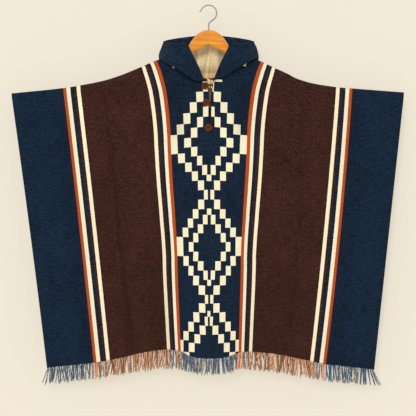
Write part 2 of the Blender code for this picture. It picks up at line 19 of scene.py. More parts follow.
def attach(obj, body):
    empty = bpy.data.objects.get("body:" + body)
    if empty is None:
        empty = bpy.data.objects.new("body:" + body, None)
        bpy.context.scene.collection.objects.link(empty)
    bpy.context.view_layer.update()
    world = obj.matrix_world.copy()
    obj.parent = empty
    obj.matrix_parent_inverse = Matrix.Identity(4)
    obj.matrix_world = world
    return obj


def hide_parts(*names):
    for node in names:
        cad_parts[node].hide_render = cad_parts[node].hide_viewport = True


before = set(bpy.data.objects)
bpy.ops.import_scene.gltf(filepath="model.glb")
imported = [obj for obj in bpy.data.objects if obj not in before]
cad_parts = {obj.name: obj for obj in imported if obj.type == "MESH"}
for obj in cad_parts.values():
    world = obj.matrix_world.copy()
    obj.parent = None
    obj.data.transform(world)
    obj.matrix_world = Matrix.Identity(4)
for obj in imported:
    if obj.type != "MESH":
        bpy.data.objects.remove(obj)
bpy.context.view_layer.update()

FRONT, BACK = -1, 1  # the sign of Y on each side of the hanger
SEAM_GAP = 0.3

# ---------------------------------------------------------------- the body cloth's form
# `across` runs from the middle line to a side edge, below 0 on the left. `down` runs from the
# shoulder fold to the hem, along the cloth.
CLOTH_WALL = 2.0
HALF_WIDTH = 572.0
FOLD_RADIUS = 9.0  # of the bend over the shoulders
MIDDLE_HALF_WIDTH = 60.0  # the cloth inside here parts at the slit
HEM_STANDOFF = 28.0  # how far the hem's middle hangs from the hanger's plane
SIDE_STANDOFF = 15.0  # and how far its two ends do
STANDOFF_GROWTH = 0.8
STRETCH = 0.042  # the cloth's own weight draws its middle rows down
SPREAD_FADE = 105.0  # what the neck hole spreads apart comes together over this length

# One thread of the warp: where it crosses the shoulder and the hem, how much of its place at
# the shoulder is spread, and how far it bows to the right on its way down.
WarpLine = namedtuple("WarpLine", "across shoulder_x shoulder_z spread bow hem_x hem_z")
WARP_LINES = (
    WarpLine(-572, -591.8, -264, 0, 2.5, -484.3, -1086),
    WarpLine(-418, -436.5, -248, 0, 1.9, -343.5, -1070),
    WarpLine(-367, -385.9, -240, 0, 2.0, -295.0, -1062),
    WarpLine(-285, -312.3, -225, -9.0, 1.2, -229.3, -1048),
    WarpLine(-235, -261.0, -208.5, -15.5, 0.6, -187.5, -1038),
    WarpLine(-162, -197.8, -182.5, -28.6, -0.6, -124.8, -1031),
    WarpLine(-113, -148.7, -162.5, -30.2, -0.8, -82.5, -1038),
    WarpLine(-60, -83.0, -149, -19.0, 0, -49.0, -1052),
    WarpLine(0, 0, -140, 0, 0, 1, -1057),
    WarpLine(60, 83.0, -149, 18.0, -0.5, 52.5, -1053),
    WarpLine(113, 149.6, -165.5, 29.2, -2.0, 88.8, -1041),
    WarpLine(162, 196.9, -187, 25.3, -0.8, 130.0, -1038),
    WarpLine(210, 239.1, -206.3, 18.2, 0.36, 171.5, -1040.6),
    WarpLine(235, 261.5, -218.5, 14.5, 1.0, 193.2, -1043),
    WarpLine(285, 311.0, -233.5, 8.5, 2.5, 236.5, -1051),
    WarpLine(367, 382.3, -245, 0, 4.5, 302.6, -1065),
    WarpLine(418, 430.6, -249, 0, 6.2, 349.8, -1075),
    WarpLine(572, 585.9, -261, 0, -0.3, 495.4, -1091),
)

# The hanging folds: a ridge, or a trough below 0, which reaches this share of the length up.
Fold = namedtuple("Fold", "across half_width hem_depth reach")
FRONT_FOLDS = (
    Fold(-520, 46, -5, 0.75),
    Fold(-445, 44, 6, 0.65),
    Fold(-350, 38, 7, 0.80),
    Fold(-284, 20, -9, 0.97),
    Fold(-212, 44, 8, 0.70),
    Fold(-136, 34, -15, 0.75),
    Fold(0, 74, 13, 0.62),
    Fold(140, 34, -14, 0.72),
    Fold(216, 42, 9, 0.75),
    Fold(281, 20, -8, 0.95),
    Fold(352, 42, 6, 0.70),
    Fold(470, 48, -5, 0.55),
)
BACK_FOLDS = (
    Fold(-500, 50, 6, 0.60),
    Fold(-390, 44, -8, 0.80),
    Fold(-280, 30, -8, 0.92),
    Fold(-180, 52, 11, 0.75),
    Fold(-70, 40, -12, 0.68),
    Fold(40, 56, 10, 0.70),
    Fold(150, 40, -13, 0.74),
    Fold(240, 44, 8, 0.66),
    Fold(290, 28, -9, 0.94),
    Fold(400, 48, 7, 0.72),
    Fold(510, 50, -6, 0.60),
)

# Creases run from one place of the cloth to another. A negative depth sinks in. Their relief also
# paints shade into the dye where they sink in and light where they stand proud.
Crease = namedtuple("Crease", "across down end_across end_down half_width depth")
FRONT_CREASES = (
    Crease(-292, 14, -294, 300, 5.0, -2.0),  # below the hanger's left tip
    Crease(-294, 300, -290, 520, 6.0, -3.0),
    Crease(-290, 520, -282, 815, 6.0, -3.0),
    Crease(257, 20, 282, 330, 7.0, -1.2),  # below its right tip
    Crease(282, 330, 285, 560, 6.0, -1.5),
    Crease(285, 560, 286, 760, 6.5, -2.0),
    Crease(181, 211, 295, 269, 8.0, -1.8),
    Crease(215, 425, 283, 437, 9.0, -1.0),
    Crease(283, 437, 364, 458, 8.0, -1.8),
    Crease(196, 560, 300, 470, 13.0, 0.9),
    Crease(-262, 22, -205, 30, 8.0, -1.2),
    Crease(-360, 40, -330, 260, 22.0, 1.3),
    Crease(-240, 60, -200, 420, 26.0, 1.2),
    # These wide, shallow ones are there mostly for their painted shade: the lower inner brown,
    # the navy beside the stripes, the chart's corners under the hood and two soft patches in its
    # middle.
    Crease(-200, 520, -190, 850, 42.0, -1.4),
    Crease(215, 560, 205, 850, 46.0, -1.3),
    Crease(-436, 60, -438, 800, 24.0, -1.6),
    Crease(440, 40, 446, 820, 28.0, -1.4),
    Crease(-100, 70, -86, 230, 22.0, -1.8),
    Crease(102, 70, 88, 230, 22.0, -1.8),
    Crease(-67, 392, -65, 460, 24.0, -2.0),
    Crease(72, 392, 70, 460, 22.0, -2.2),
    Crease(-540, 300, -470, 330, 14.0, -0.8),
    Crease(-500, 470, -440, 520, 16.0, 0.8),
    Crease(470, 380, 540, 350, 14.0, -0.8),
    Crease(460, 790, 560, 850, 26.0, -1.1),
    Crease(-180, 130, -235, 215, 10.0, -0.9),
)
BACK_CREASES = (
    Crease(-283, 16, -280, 780, 6.0, -1.6),
    Crease(287, 18, 290, 810, 6.0, -1.8),
    Crease(-190, 230, -300, 380, 10.0, -1.2),
    Crease(170, 420, 280, 510, 9.0, -1.3),
    Crease(-360, 480, -250, 560, 11.0, -1.1),
    Crease(-60, 300, -90, 720, 22.0, -1.4),
    Crease(70, 340, 60, 800, 20.0, 1.3),
    Crease(440, 70, 455, 560, 20.0, -1.2),
    Crease(-450, 90, -440, 600, 22.0, -1.1),
    Crease(210, 600, 180, 850, 18.0, -1.5),
    Crease(-215, 580, -200, 850, 18.0, -1.5),
)
CREASE_WOBBLE, CREASE_WOBBLE_RATE = 2.4, 0.021  # how a crease wanders on its way down
CREASE_BEYOND = 0.1  # the share of its run by which it outlasts each end, where it fades
CREASE_REACH = 3  # half-widths, past which it isn't felt
RIPPLE = 0.55  # of the whole cloth, which never lies quite flat
RIPPLE_SIZE = 95.0
RIPPLE_SHARE_DOWN = 0.6  # ripples are longer down the cloth than across it
RIPPLE_STARTS, RIPPLE_GROWS = 12.0, 60.0  # below the shoulder fold, which lies taut
RIPPLE_SIDES_APART = 300  # the back ripples otherwise than the front

NECK_HALF_WIDTH = 70.0
NECK_DEPTH = {FRONT: 78.0, BACK: 74.0}
SLIT_END = 205.0  # how far below the shoulder fold the slit ends
SLIT_OPENING = 26.5  # half its width, if it went on up to the fold
SLIT_TAPER = 2.2
SLIT_CLOSED = 2.7  # half its width where it hangs closed
SLIT_CLOSES = 14.0  # its edges meet over this last length
SLIT_SHIFT = 5.0  # how far to the right it hangs, less and less further down
SLIT_SHIFT_FADE = 420.0

NECK_COLUMN_TURN = 5  # degrees between the mesh's columns at the neck hole
FOLD_ROW_TURNS = (0, 4, 15, 30, 45, 60, 75, 90)  # the rows over the shoulder fold
COLUMN_WIDTH = 5.0
ROW_HEIGHT = 8.0

# ---------------------------------------------------------------- the stripes and the chart
Stripe = namedtuple("Stripe", "start dye")  # outward from the middle on both sides
STRIPES = (
    Stripe(0, "deep_navy"),
    Stripe(113.0, "orange"),
    Stripe(123.5, "cream"),
    Stripe(133.5, "navy"),
    Stripe(142.5, "brown"),
    Stripe(151.5, "cream"),
    Stripe(162.0, "brown"),
    Stripe(367.0, "cream"),
    Stripe(378.5, "brown"),
    Stripe(387.0, "navy"),
    Stripe(397.5, "cream"),
    Stripe(409.0, "orange"),
    Stripe(418.0, "navy"),
)
StripeDrift = namedtuple("StripeDrift", "z outward")  # how far the inner stripes stray
STRIPE_DRIFTS = (
    StripeDrift(-1080, 0.0),
    StripeDrift(-847, 0.0),
    StripeDrift(-799, -0.6),
    StripeDrift(-775, -1.2),
    StripeDrift(-751, -2.2),
    StripeDrift(-703, -1.9),
    StripeDrift(-679, -1.4),
    StripeDrift(-655, -0.4),
    StripeDrift(-619, 0.3),
    StripeDrift(-583, 1.3),
    StripeDrift(-559, 2.0),
    StripeDrift(-535, 2.5),
    StripeDrift(-487, 2.8),
    StripeDrift(-463, 2.6),
    StripeDrift(-415, 1.6),
    StripeDrift(-391, 0.5),
    StripeDrift(-343, -0.2),
    StripeDrift(-289, -0.4),
    StripeDrift(-253, -0.3),
    StripeDrift(-235, 0.8),
    StripeDrift(-217, 1.9),
    StripeDrift(-187, 4.1),
    StripeDrift(-165, 8.0),
)
DRIFT_SPAN = (80.0, 25, 200.0, 130)  # where across the cloth they stray, with soft ends
CHART_TOP = 253.8  # how far below the hook the chart's row 0 begins on the middle line
CHART_ROW = 30.18  # the height of a row there; lower down they get a little shorter
CHART_SHORTENING = 0.00154
RowSlope = namedtuple("RowSlope", "z degrees")  # how far the rows drop outward
ROW_SLOPES = (
    RowSlope(-1100, -3.2),
    RowSlope(-973, -2.75),
    RowSlope(-733, -1.5),
    RowSlope(-583, 1.6),
    RowSlope(-433, 4.0),
    RowSlope(-373, 5.6),
    RowSlope(-310, 4.0),
    RowSlope(-250, 2.0),
    RowSlope(-228, 0.0),
)
SHOULDER_BEND = 3.8e-5  # how much the rows bend down towards the shoulders
BEND_ENDS, BEND_FADES = 190.0, 100.0  # this far below the hook, over this length
REPEAT = 11  # rows to a repeat of the diamonds
GAP, GAP_STARTS = 0.27, 2.6  # the share of the innermost cells left out, below the slit's top
FIRST_ROW_RIGHT, FIRST_ROW_LEFT = -1.22, -1.0  # the outer diamonds start here on each side
INNER_ROWS_LOWER = 0.5  # how far the inner diamonds' rows lie below the outer ones'
INNER_MIDDLE_ROW = 4.0  # of a repeat, where the inner diamond is widest, halfway to its tips
INNER_LAST_ROW = 27.0  # the inner diamonds stop here
TIP_HALF_WIDTH = 0.34  # the small cells at the inner diamond's two tips, in columns
TIP_START, TIP_END = 0.37, 0.63
# Light cells that peep out under the hood, between two places across the cloth and above
# a place down it.
PeepingCell = namedtuple("PeepingCell", "first last end")
PEEPING_CELLS = (PeepingCell(75.2, 85.2, 25.8), PeepingCell(-84.5, -79.5, 32.5))
CHART_EDGE = STRIPES[1].start
SLIT_SHADE_WIDTH = 1.6  # the width of the painted shade along the slit's edges

# Where the chart's columns end, outward from its middle, and that middle, by row.
ChartColumns = namedtuple("ChartColumns", "row middle ends")
OUTER_COLUMNS = (
    ChartColumns(-2.0, -1.9, (19.3, 46.0, 64.0, 84.0, 104.0)),
    ChartColumns(0.0, -0.6, (15.5, 37.6, 58.0, 79.0, 99.0)),
    ChartColumns(3.0, -0.1, (14.5, 34.9, 54.6, 74.7, 95.8)),
    ChartColumns(8.0, 0.6, (14.3, 33.4, 51.0, 70.4, 90.0)),
    ChartColumns(10.5, 1.2, (15.0, 32.9, 49.8, 68.0, 86.0)),
    ChartColumns(13.0, 1.4, (13.8, 32.3, 48.4, 64.0, 81.0)),
    ChartColumns(16.0, 2.0, (13.4, 32.0, 47.9, 61.9, 78.0)),
    ChartColumns(18.5, 2.8, (12.8, 31.6, 48.4, 63.0, 77.8)),
    ChartColumns(21.0, 1.3, (12.1, 31.2, 48.6, 63.6, 78.0)),
    ChartColumns(25.0, 2.6, (10.9, 29.4, 46.7, 62.7, 77.4)),
    ChartColumns(26.5, 2.3, (10.0, 28.0, 45.5, 61.5, 77.4)),
    ChartColumns(28.0, 2.1, (9.0, 27.0, 44.0, 59.1, 77.1)),
)
INNER_COLUMNS = (
    ChartColumns(2.0, 0.4, (17.0, 35.2, 53.9, 73.5, 93.0)),
    ChartColumns(5.0, 0.1, (18.4, 34.0, 52.9, 73.4, 93.0)),
    ChartColumns(7.5, 0.6, (20.6, 35.4, 52.5, 73.0, 92.0)),
    ChartColumns(13.5, 1.6, (18.5, 34.3, 48.6, 62.5, 77.0)),
    ChartColumns(16.0, 2.8, (18.0, 33.5, 48.3, 61.9, 76.0)),
    ChartColumns(18.5, 1.7, (17.4, 34.0, 48.6, 62.0, 76.0)),
    ChartColumns(24.0, 0.5, (11.5, 28.3, 45.0, 61.0, 77.0)),
    ChartColumns(26.0, 1.6, (8.7, 26.9, 43.6, 60.8, 77.0)),
)
# How far the rows of each diamond lie from an even spacing.
RowShift = namedtuple("RowShift", "row shift")
OUTER_SHIFTS = (
    RowShift(-0.4, 0.14),
    RowShift(0.6, 0.115),
    RowShift(3.7, 0.17),
    RowShift(6.7, 0.18),
    RowShift(8.6, 0.08),
    RowShift(12.5, 0.0),
    RowShift(14.4, -0.06),
    RowShift(20.5, -0.03),
    RowShift(22.3, -0.17),
    RowShift(26.3, -0.20),
    RowShift(27.1, -0.90),
)
INNER_SHIFTS = (
    RowShift(2.1, 0.125),
    RowShift(5.1, 0.10),
    RowShift(7.0, 0.02),
    RowShift(8.0, -0.01),
    RowShift(13.1, 0.12),
    RowShift(14.0, 0.05),
    RowShift(15.0, -0.02),
    RowShift(17.0, -0.04),
    RowShift(18.9, -0.12),
    RowShift(23.7, -0.28),
    RowShift(25.6, -0.37),
    RowShift(26.6, -0.43),
)

# ---------------------------------------------------------------- the hood's form
HOOD_WALL = 2.4
LINING_WALL = 1.0
LINING_GAP = 0.8
# Sections of one hood half, from the slit round to the back: the turn round the neck hole
# where it is sewn on, in degrees, the lowest place of its roll, and its rim.
Section = namedtuple("Section", "seam_turn low rim")
HOOD_SECTIONS = (
    Section(2, (-19, -25, -227), (-17, -29, -218)),
    Section(14, (-44, -43, -222), (-34, -42, -178)),
    Section(30, (-70, -55, -203), (-54, -52, -138)),
    Section(48, (-100, -53, -182), (-66.5, -54, -118)),
    Section(68, (-128, -38, -164), (-105, -46, -117)),
    Section(90, (-144, -4, -155), (-132, -14, -108)),
    Section(101, (-145, 20, -172), (-131, 12, -106)),
    Section(116, (-135, 38, -220), (-118, 40, -99)),
    Section(146, (-89, 50, -312), (-68, 66, -89)),
    Section(180, (0, 50, -352), (0, 78, -83)),
)
RIGHT_ROLL_RAISED, RIGHT_ROLL_FLATTER = 12.0, 8.0
RIGHT_ROLL_SPAN = (-2, 11, 30, 50)  # these turns, beside the slit
LEFT_CORNER_LOWERED = 6.0
LEFT_CORNER_SPAN = (40, 30, 80, 20)
LOW_AT = 0.45  # the share of the way from the seam to the rim where the roll is lowest
POUCH_STARTS, POUCH_BLEND = 86.0, 34.0  # the turns over which the roll becomes the pouch
POUCH_LEVEL = 0.85  # how nearly level the pouch's cloth turns at its lowest place
POUCH_ROUNDNESS = 2.8
HOOD_COLUMN_STEP = 0.075  # of a section
HOOD_ROW_COUNT = 44
LINING_FIRST, LINING_LAST = 0.04, 0.92  # from the seam towards the rim
LINING_LIFT, LIFT_STARTS, LIFT_BLEND = 0.06, 8.2, 0.6  # it rises towards the back seam
LINING_COLUMN_START = 1.0  # the section where the lining begins
LINING_SEAM_GAP = 0.02


def metres(point):
    """A point or length in millimetres, as Blender's metres."""
    return Vector(point) * 0.001 if hasattr(point, "__len__") else point * 0.001


def ease(x):
    """0 below 0, 1 above 1, and a smooth rise between."""
    x = min(max(x, 0.0), 1.0)
    return x * x * (3 - 2 * x)


def within(x, start, rise, end, fall):
    """0 below start, 1 once the rise is over, and 0 again once the fall from end is over."""
    return ease((x - start) / rise) * (1 - ease((x - end) / fall))


def hermite(start, end, start_slope, end_slope, span, t):
    """A cubic from start to end, over this span, read at the share t of the way."""
    return (
        start * (1 + 2 * t) * (1 - t) ** 2
        + start_slope * (span * t * (1 - t) ** 2)
        + end * (t * t * (3 - 2 * t))
        + end_slope * (span * t * t * (t - 1))
    )


def through(places, values, at):
    """A smooth curve through the values at these places, which rise."""
    at = min(max(at, places[0]), places[-1])
    last = len(places) - 2
    i = min(last, max(k for k in range(len(places)) if places[k] <= at))

    def slope(k):
        before, after = max(k - 1, 0), min(k + 1, len(places) - 1)
        return (values[after] - values[before]) / (places[after] - places[before])

    span = places[i + 1] - places[i]
    share = (at - places[i]) / span
    return hermite(values[i], values[i + 1], slope(i), slope(i + 1), span, share)


@lru_cache(maxsize=None)
def warp_value(field, across):
    """One column of WARP_LINES, read between its rows."""
    places = [line.across for line in WARP_LINES]
    return through(places, [getattr(line, field) for line in WARP_LINES], across)


def slit_half_width(down):
    """How far each edge of the front slit stands from the cloth's middle."""
    if down > SLIT_END:
        return 0.0
    opening = max(SLIT_CLOSED, SLIT_OPENING * (1 - down / SLIT_END) ** SLIT_TAPER)
    return opening * ease((SLIT_END - down) / SLIT_CLOSES)


def cloth_length(across):
    """From the shoulder fold to the hem, along the cloth."""
    return warp_value("shoulder_z", across) - warp_value("hem_z", across)


def fold_relief(side, across, share):
    """How far the hanging folds bring the cloth out at this place."""
    relief = 0.0
    for fold in FRONT_FOLDS if side == FRONT else BACK_FOLDS:
        shape = math.exp(-(((across - fold.across) / fold.half_width) ** 2))
        relief += fold.hem_depth * shape * ease((share - 1 + fold.reach) / fold.reach)
    return relief


@lru_cache(maxsize=None)
def crease_relief(side, across, down):
    """The small creases and the slight waviness of the cloth."""
    place = Vector((across, down * RIPPLE_SHARE_DOWN, RIPPLE_SIDES_APART * side))
    wave = noise.noise(place / RIPPLE_SIZE)
    relief = RIPPLE * wave * ease((down - RIPPLE_STARTS) / RIPPLE_GROWS)
    for crease in FRONT_CREASES if side == FRONT else BACK_CREASES:
        run = Vector((crease.end_across - crease.across, crease.end_down - crease.down))
        right, below = across - crease.across, down - crease.down
        along = Vector((right, below)).dot(run) / run.length_squared
        if not -CREASE_BEYOND < along < 1 + CREASE_BEYOND:
            continue
        wobble = CREASE_WOBBLE * math.sin(down * CREASE_WOBBLE_RATE + crease.across)
        off = abs((right - wobble) * run.y - below * run.x) / run.length
        if off > CREASE_REACH * crease.half_width:
            continue
        to_end = CREASE_BEYOND + min(along, 1 - along)
        ends = ease(to_end / (2 * CREASE_BEYOND))
        relief += crease.depth * math.exp(-((off / crease.half_width) ** 2)) * ends
    return relief


def cloth_point(side, across, down, edge=0):
    """A point on the middle of the cloth's wall. An edge of -1 or 1 picks a side of the slit."""
    length = cloth_length(across)
    share = down / length
    share += STRETCH * share * (1 - share)
    turn = min(down / FOLD_RADIUS, math.pi / 2)
    fold_drop = FOLD_RADIUS * (1 - math.sin(turn) - math.cos(turn))
    spread = warp_value("spread", across) * math.exp(-down / SPREAD_FADE)
    x = (
        (warp_value("shoulder_x", across) - warp_value("spread", across)) * (1 - share)
        + warp_value("hem_x", across) * share
        + warp_value("bow", across) * 4 * share * (1 - share)
    )
    if side == FRONT:
        hand = edge or (1 if across > 0 else -1)
        shift = SLIT_SHIFT * (1 - ease(down / SLIT_SHIFT_FADE))
        near_middle = 1 - ease(abs(across) / MIDDLE_HALF_WIDTH)
        x += spread * (1 - near_middle) + (hand * slit_half_width(down) + shift) * near_middle
    else:
        x += spread
    z = warp_value("shoulder_z", across) - length * share - fold_drop * (1 - share)
    standoff = SIDE_STANDOFF + (HEM_STANDOFF - SIDE_STANDOFF) * (
        1 - (across / HALF_WIDTH) ** 2
    )
    out = FOLD_RADIUS * math.sin(turn) + (standoff - FOLD_RADIUS) * share**STANDOFF_GROWTH
    return Vector((x, side * (out + fold_relief(side, across, share)), z))


def cloth_normal(side, across, down, edge=0):
    """The direction that points out of the garment at this place of the cloth."""
    step = 1.5
    toward = -1 if across > 0 else 1
    low = max(down - step, 0.0)
    along_across = (
        cloth_point(side, across + toward * step, down, edge)
        - cloth_point(side, across, down, edge)
    ) * toward
    along_down = cloth_point(side, across, down + step, edge) - cloth_point(
        side, across, low, edge
    )
    return (along_across.cross(along_down) * side).normalized()


def raised(side, across, down, height, edge=0):
    """A point this far out from the middle of the cloth's wall (negative is inward)."""
    return cloth_point(side, across, down, edge) + height * cloth_normal(
        side, across, down, edge
    )


def stripe_place(across, z):
    """Which stripe of the warp lies here: the inner ones stray a little from their places."""
    heights = [drift.z for drift in STRIPE_DRIFTS]
    outward = through(heights, [drift.outward for drift in STRIPE_DRIFTS], z)
    off = abs(across)
    outward *= within(off, *DRIFT_SPAN)
    return across - math.copysign(1.0, across) * outward


def neck_edge(side, across):
    """How far below the shoulder the neck hole reaches at this place, 0 outside it."""
    reach = min(abs(across) / NECK_HALF_WIDTH, 1.0)
    return NECK_DEPTH[side] * math.sqrt(1 - reach * reach)


def chart_row(point):
    """Which row of the chart lies at this point of the cloth, counted from the top down."""
    places = [slope.z for slope in ROW_SLOPES]
    slope = through(places, [slope.degrees for slope in ROW_SLOPES], point.z)
    x = abs(point.x)
    bend = SHOULDER_BEND * (1 - ease((-point.z - BEND_ENDS) / BEND_FADES))
    drop = x * math.tan(math.radians(slope)) + bend * x**3
    rows = (-point.z - drop - CHART_TOP) / CHART_ROW
    return rows * (1 + CHART_SHORTENING * rows)


def chart_place(point, columns, shifts):
    """The column of the chart, below 0 on the left, and its row, at this point of the cloth."""
    even = chart_row(point)
    row = even - through([s.row for s in shifts], [s.shift for s in shifts], even)
    rows = [entry.row for entry in columns]
    x = point.x - through(rows, [entry.middle for entry in columns], row)
    ends = [0.0]
    for number in range(len(columns[0].ends)):
        ends.append(through(rows, [entry.ends[number] for entry in columns], row))
    i = min(len(ends) - 2, max(k for k in range(len(ends)) if ends[k] <= abs(x)))
    column = i + (abs(x) - ends[i]) / (ends[i + 1] - ends[i])
    return math.copysign(column, x), row


# ---------------------------------------------------------------- making meshes
MERGE_DISTANCE = 1e-6  # metres


def grid_sheet(columns, rows, place, maps=()):
    """A bmesh grid whose corners are placed by place(column, row).

    Each of maps is a name and a function that gives a corner's two texture lengths.
    """
    bm = bmesh.new()
    across, along = len(columns) - 1, len(rows) - 1
    bmesh.ops.create_grid(bm, x_segments=across, y_segments=along, size=0.5)
    layers = [(bm.loops.layers.uv.new(name), read) for name, read in maps]
    spots = {}
    for vert in bm.verts:
        column = columns[round((vert.co.x + 0.5) * across)]
        row = rows[round((vert.co.y + 0.5) * along)]
        point = Vector(place(column, row))
        spots[vert] = (point, [read(column, row, point) for _, read in layers])
    for face in bm.faces:
        for loop in face.loops:
            for (layer, _), lengths in zip(layers, spots[loop.vert][1]):
                loop[layer].uv = lengths
    for vert, (point, _) in spots.items():
        vert.co = metres(point)
    return bm


def join_sheets(sheets):
    """One bmesh from several, with the points that meet merged."""
    whole = bmesh.new()
    for sheet in sheets:
        mesh = bpy.data.meshes.new("part")
        sheet.to_mesh(mesh)
        sheet.free()
        whole.from_mesh(mesh)
        bpy.data.meshes.remove(mesh)
    bmesh.ops.remove_doubles(whole, verts=whole.verts, dist=MERGE_DISTANCE)
    return whole


def add_piece(name, mesh, finishes, replaced=()):
    """Links a finished mesh as a piece of the object."""
    piece = bpy.data.objects.new(name, mesh)
    for finish in finishes:
        mesh.materials.append(finish)
    bpy.context.scene.collection.objects.link(piece)
    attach(piece, "root")
    if replaced:
        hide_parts(*replaced)
    return piece


def mesh_from(name, bm, smooth=True):
    """The finished mesh of a bmesh."""
    mesh = bpy.data.meshes.new(name)
    bm.to_mesh(mesh)
    bm.free()
    if smooth:
        mesh.shade_smooth()
    return mesh


def give_wall(piece, wall):
    """Gives a sheet its thickness, half of it on each side."""
    solidify = piece.modifiers.new("wall", "SOLIDIFY")
    solidify.thickness = metres(wall)
    solidify.offset = 0.0


def cloth_piece(name, sheet, finish, node, wall):
    """Makes a piece of cloth from its sheet, which takes the place of one solid."""
    bmesh.ops.recalc_face_normals(sheet, faces=sheet.faces)
    piece = add_piece(name, mesh_from(name, sheet), [finish], (node,))
    give_wall(piece, wall)
    return piece


# ---------------------------------------------------------------- making materials
class Value:
    """A number that changes over a surface. Sums on it add Math nodes to its node tree."""

    def __init__(self, socket):
        self.socket = socket

    def math(self, operation, *others):
        tree = self.socket.id_data
        node = tree.nodes.new("ShaderNodeMath")
        node.operation = operation
        for slot, value in zip(node.inputs, (self, *others)):
            feed(slot, value)
        return Value(node.outputs[0])

    def __add__(self, other):
        return self.math("ADD", other)

    def __sub__(self, other):
        return self.math("SUBTRACT", other)

    def __mul__(self, other):
        return self.math("MULTIPLY", other)

    def __truediv__(self, other):
        return self.math("DIVIDE", other)

    def above(self, other):
        return self.math("GREATER_THAN", other)

    def below(self, other):
        return self.math("LESS_THAN", other)

    def equals(self, other):
        return self.math("COMPARE", other, 0.25)

    def absolute(self):
        return self.math("ABSOLUTE")

    def floor(self):
        return self.math("FLOOR")

    def fraction(self):
        return self.math("FRACT")

    def sine(self):
        return self.math("SINE")


def feed(slot, value):
    """Sets an input socket to a constant, or links it to what feeds it."""
    if isinstance(value, Value):
        value = value.socket
    if isinstance(value, bpy.types.NodeSocket):
        slot.id_data.links.new(value, slot)
    else:
        slot.default_value = value


def add_node(tree, kind, **given):
    """Adds a shader node. Names that start with a capital are its inputs, others its settings."""
    node = tree.nodes.new("ShaderNode" + kind)
    for name, value in given.items():
        if name[0].isupper():
            feed(node.inputs[name.replace("_", " ")], value)
        else:
            setattr(node, name, value)
    return node


def noise_value(tree, place, scales, detail=2.0, roughness=0.5):
    """Soft noise from 0 to 1, with this many features to the metre along each axis."""
    scaled = tree.nodes.new("ShaderNodeVectorMath")
    scaled.operation = "MULTIPLY"
    feed(scaled.inputs[0], place)
    scaled.inputs[1].default_value = scales
    node = add_node(
        tree, "TexNoise", Vector=scaled.outputs[0], Scale=1.0, Detail=detail, Roughness=roughness
    )
    return Value(node.outputs[0])


def mixed_colour(tree, factor, first, second, blend="MIX"):
    """One colour where the factor is 0, the other where it is 1."""
    node = tree.nodes.new("ShaderNodeMix")
    node.data_type = "RGBA"
    node.blend_type = blend
    feed(node.inputs[0], factor)
    feed(node.inputs[6], first)
    feed(node.inputs[7], second)
    return node.outputs[2]


def times(tree, colour, light):
    """The colour, this many times as light."""
    grey = add_node(tree, "CombineColor", Red=light, Green=light, Blue=light).outputs[0]
    return mixed_colour(tree, 1.0, colour, grey, "MULTIPLY")


def toned(tree, colour, tone, depth):
    """The colour, darker where the tone is under a half and lighter where it is over."""
    return times(tree, colour, (tone - 0.5) * (2 * depth) + 1.0)


def yarn_tone(weave, depth):
    """How light each yarn of a weave is, which varies this strongly."""
    return ((Value(weave.outputs["Tone"]) - 0.5) * depth + 1.0).math("MAXIMUM", 0.3)


def uv_place(tree, name):
    """The texture lengths that a piece has under this name."""
    return add_node(tree, "UVMap", uv_map=name).outputs[0]


def object_place(tree):
    """The place in the object's own frame, in metres."""
    return add_node(tree, "TexCoord").outputs["Object"]


def across_and_down(tree, place):
    """The first two numbers of a place."""
    parts = add_node(tree, "SeparateXYZ", Vector=place)
    return Value(parts.outputs[0]), Value(parts.outputs[1])


def bumped(tree, height, strength, distance):
    """A normal that follows this height, in metres of full height."""
    return add_node(
        tree, "Bump", Strength=strength, Distance=distance, Height=height
    ).outputs[0]


def new_group(name, inputs, outputs):
    """An empty node group with these sockets, and its two end nodes."""
    group = bpy.data.node_groups.new(name, "ShaderNodeTree")
    for title, kind in inputs:
        group.interface.new_socket(title, in_out="INPUT", socket_type="NodeSocket" + kind)
    for title, kind in outputs:
        group.interface.new_socket(title, in_out="OUTPUT", socket_type="NodeSocket" + kind)
    return group, group.nodes.new("NodeGroupInput"), group.nodes.new("NodeGroupOutput")


def use_group(tree, group, **given):
    """Places a node group in a tree. Underscores in the names stand for spaces."""
    node = tree.nodes.new("ShaderNodeGroup")
    node.node_tree = group
    for name, value in given.items():
        feed(node.inputs[name.replace("_", " ")], value)
    return node


def make_weave():
    """Yarns that cross: their height, and a tone that varies from yarn to yarn."""
    group, given, result = new_group(
        "weave",
        [("Place", "Vector"), ("Yarns", "Float")],
        [("Height", "Float"), ("Tone", "Float")],
    )
    place, yarns = given.outputs[0], Value(given.outputs[1])
    across, down = across_and_down(group, place)
    sway = (noise_value(group, place, (40, 40, 1)) - 0.5) * 0.8
    warp = across * yarns + sway
    weft = down * yarns + sway
    crossing = (warp * math.pi).sine() * (weft * math.pi).sine()
    slubs = noise_value(group, place, (900, 240, 1), 3.0)
    rib = (warp.fraction() - 0.5).absolute() * -0.5
    feed(result.inputs["Height"], crossing * 0.35 + rib + slubs * 0.45 + 0.4)

    yarn_number = add_node(group, "CombineXYZ", X=warp.floor(), Y=weft.floor())
    fleck = Value(
        add_node(group, "TexWhiteNoise", Vector=yarn_number.outputs[0]).outputs[0]
    )
    weft_streaks = noise_value(group, place, (45, 300, 1), 2.0, 0.6)
    warp_streaks = noise_value(group, place, (260, 16, 1), 2.0, 0.6)
    heather = noise_value(group, place, (230, 250, 1), 2.0, 0.6)
    clouds = noise_value(group, place, (11, 14, 1), 3.0)
    tone = weft_streaks * 0.3 + warp_streaks * 0.12 + heather * 0.42 + clouds * 0.1 + fleck * 0.06
    feed(result.inputs["Tone"], tone)
    return group


def make_painted_crease_shading():
    """Painted shade and light: how many times as light the dye is made where the cloth's relief
    sinks in or stands proud.
    """
    group, given, result = new_group(
        "painted_crease_shading", [("Relief", "Vector"), ("Depth", "Float")], [("Light", "Float")]
    )
    relief, _ = across_and_down(group, given.outputs["Relief"])
    feed(result.inputs["Light"], relief * Value(given.outputs["Depth"]) + 1.0)
    return group


STITCH_WIDTH, STITCH_PITCH, STITCH_SHARE = 0.0011, 0.0055, 0.68


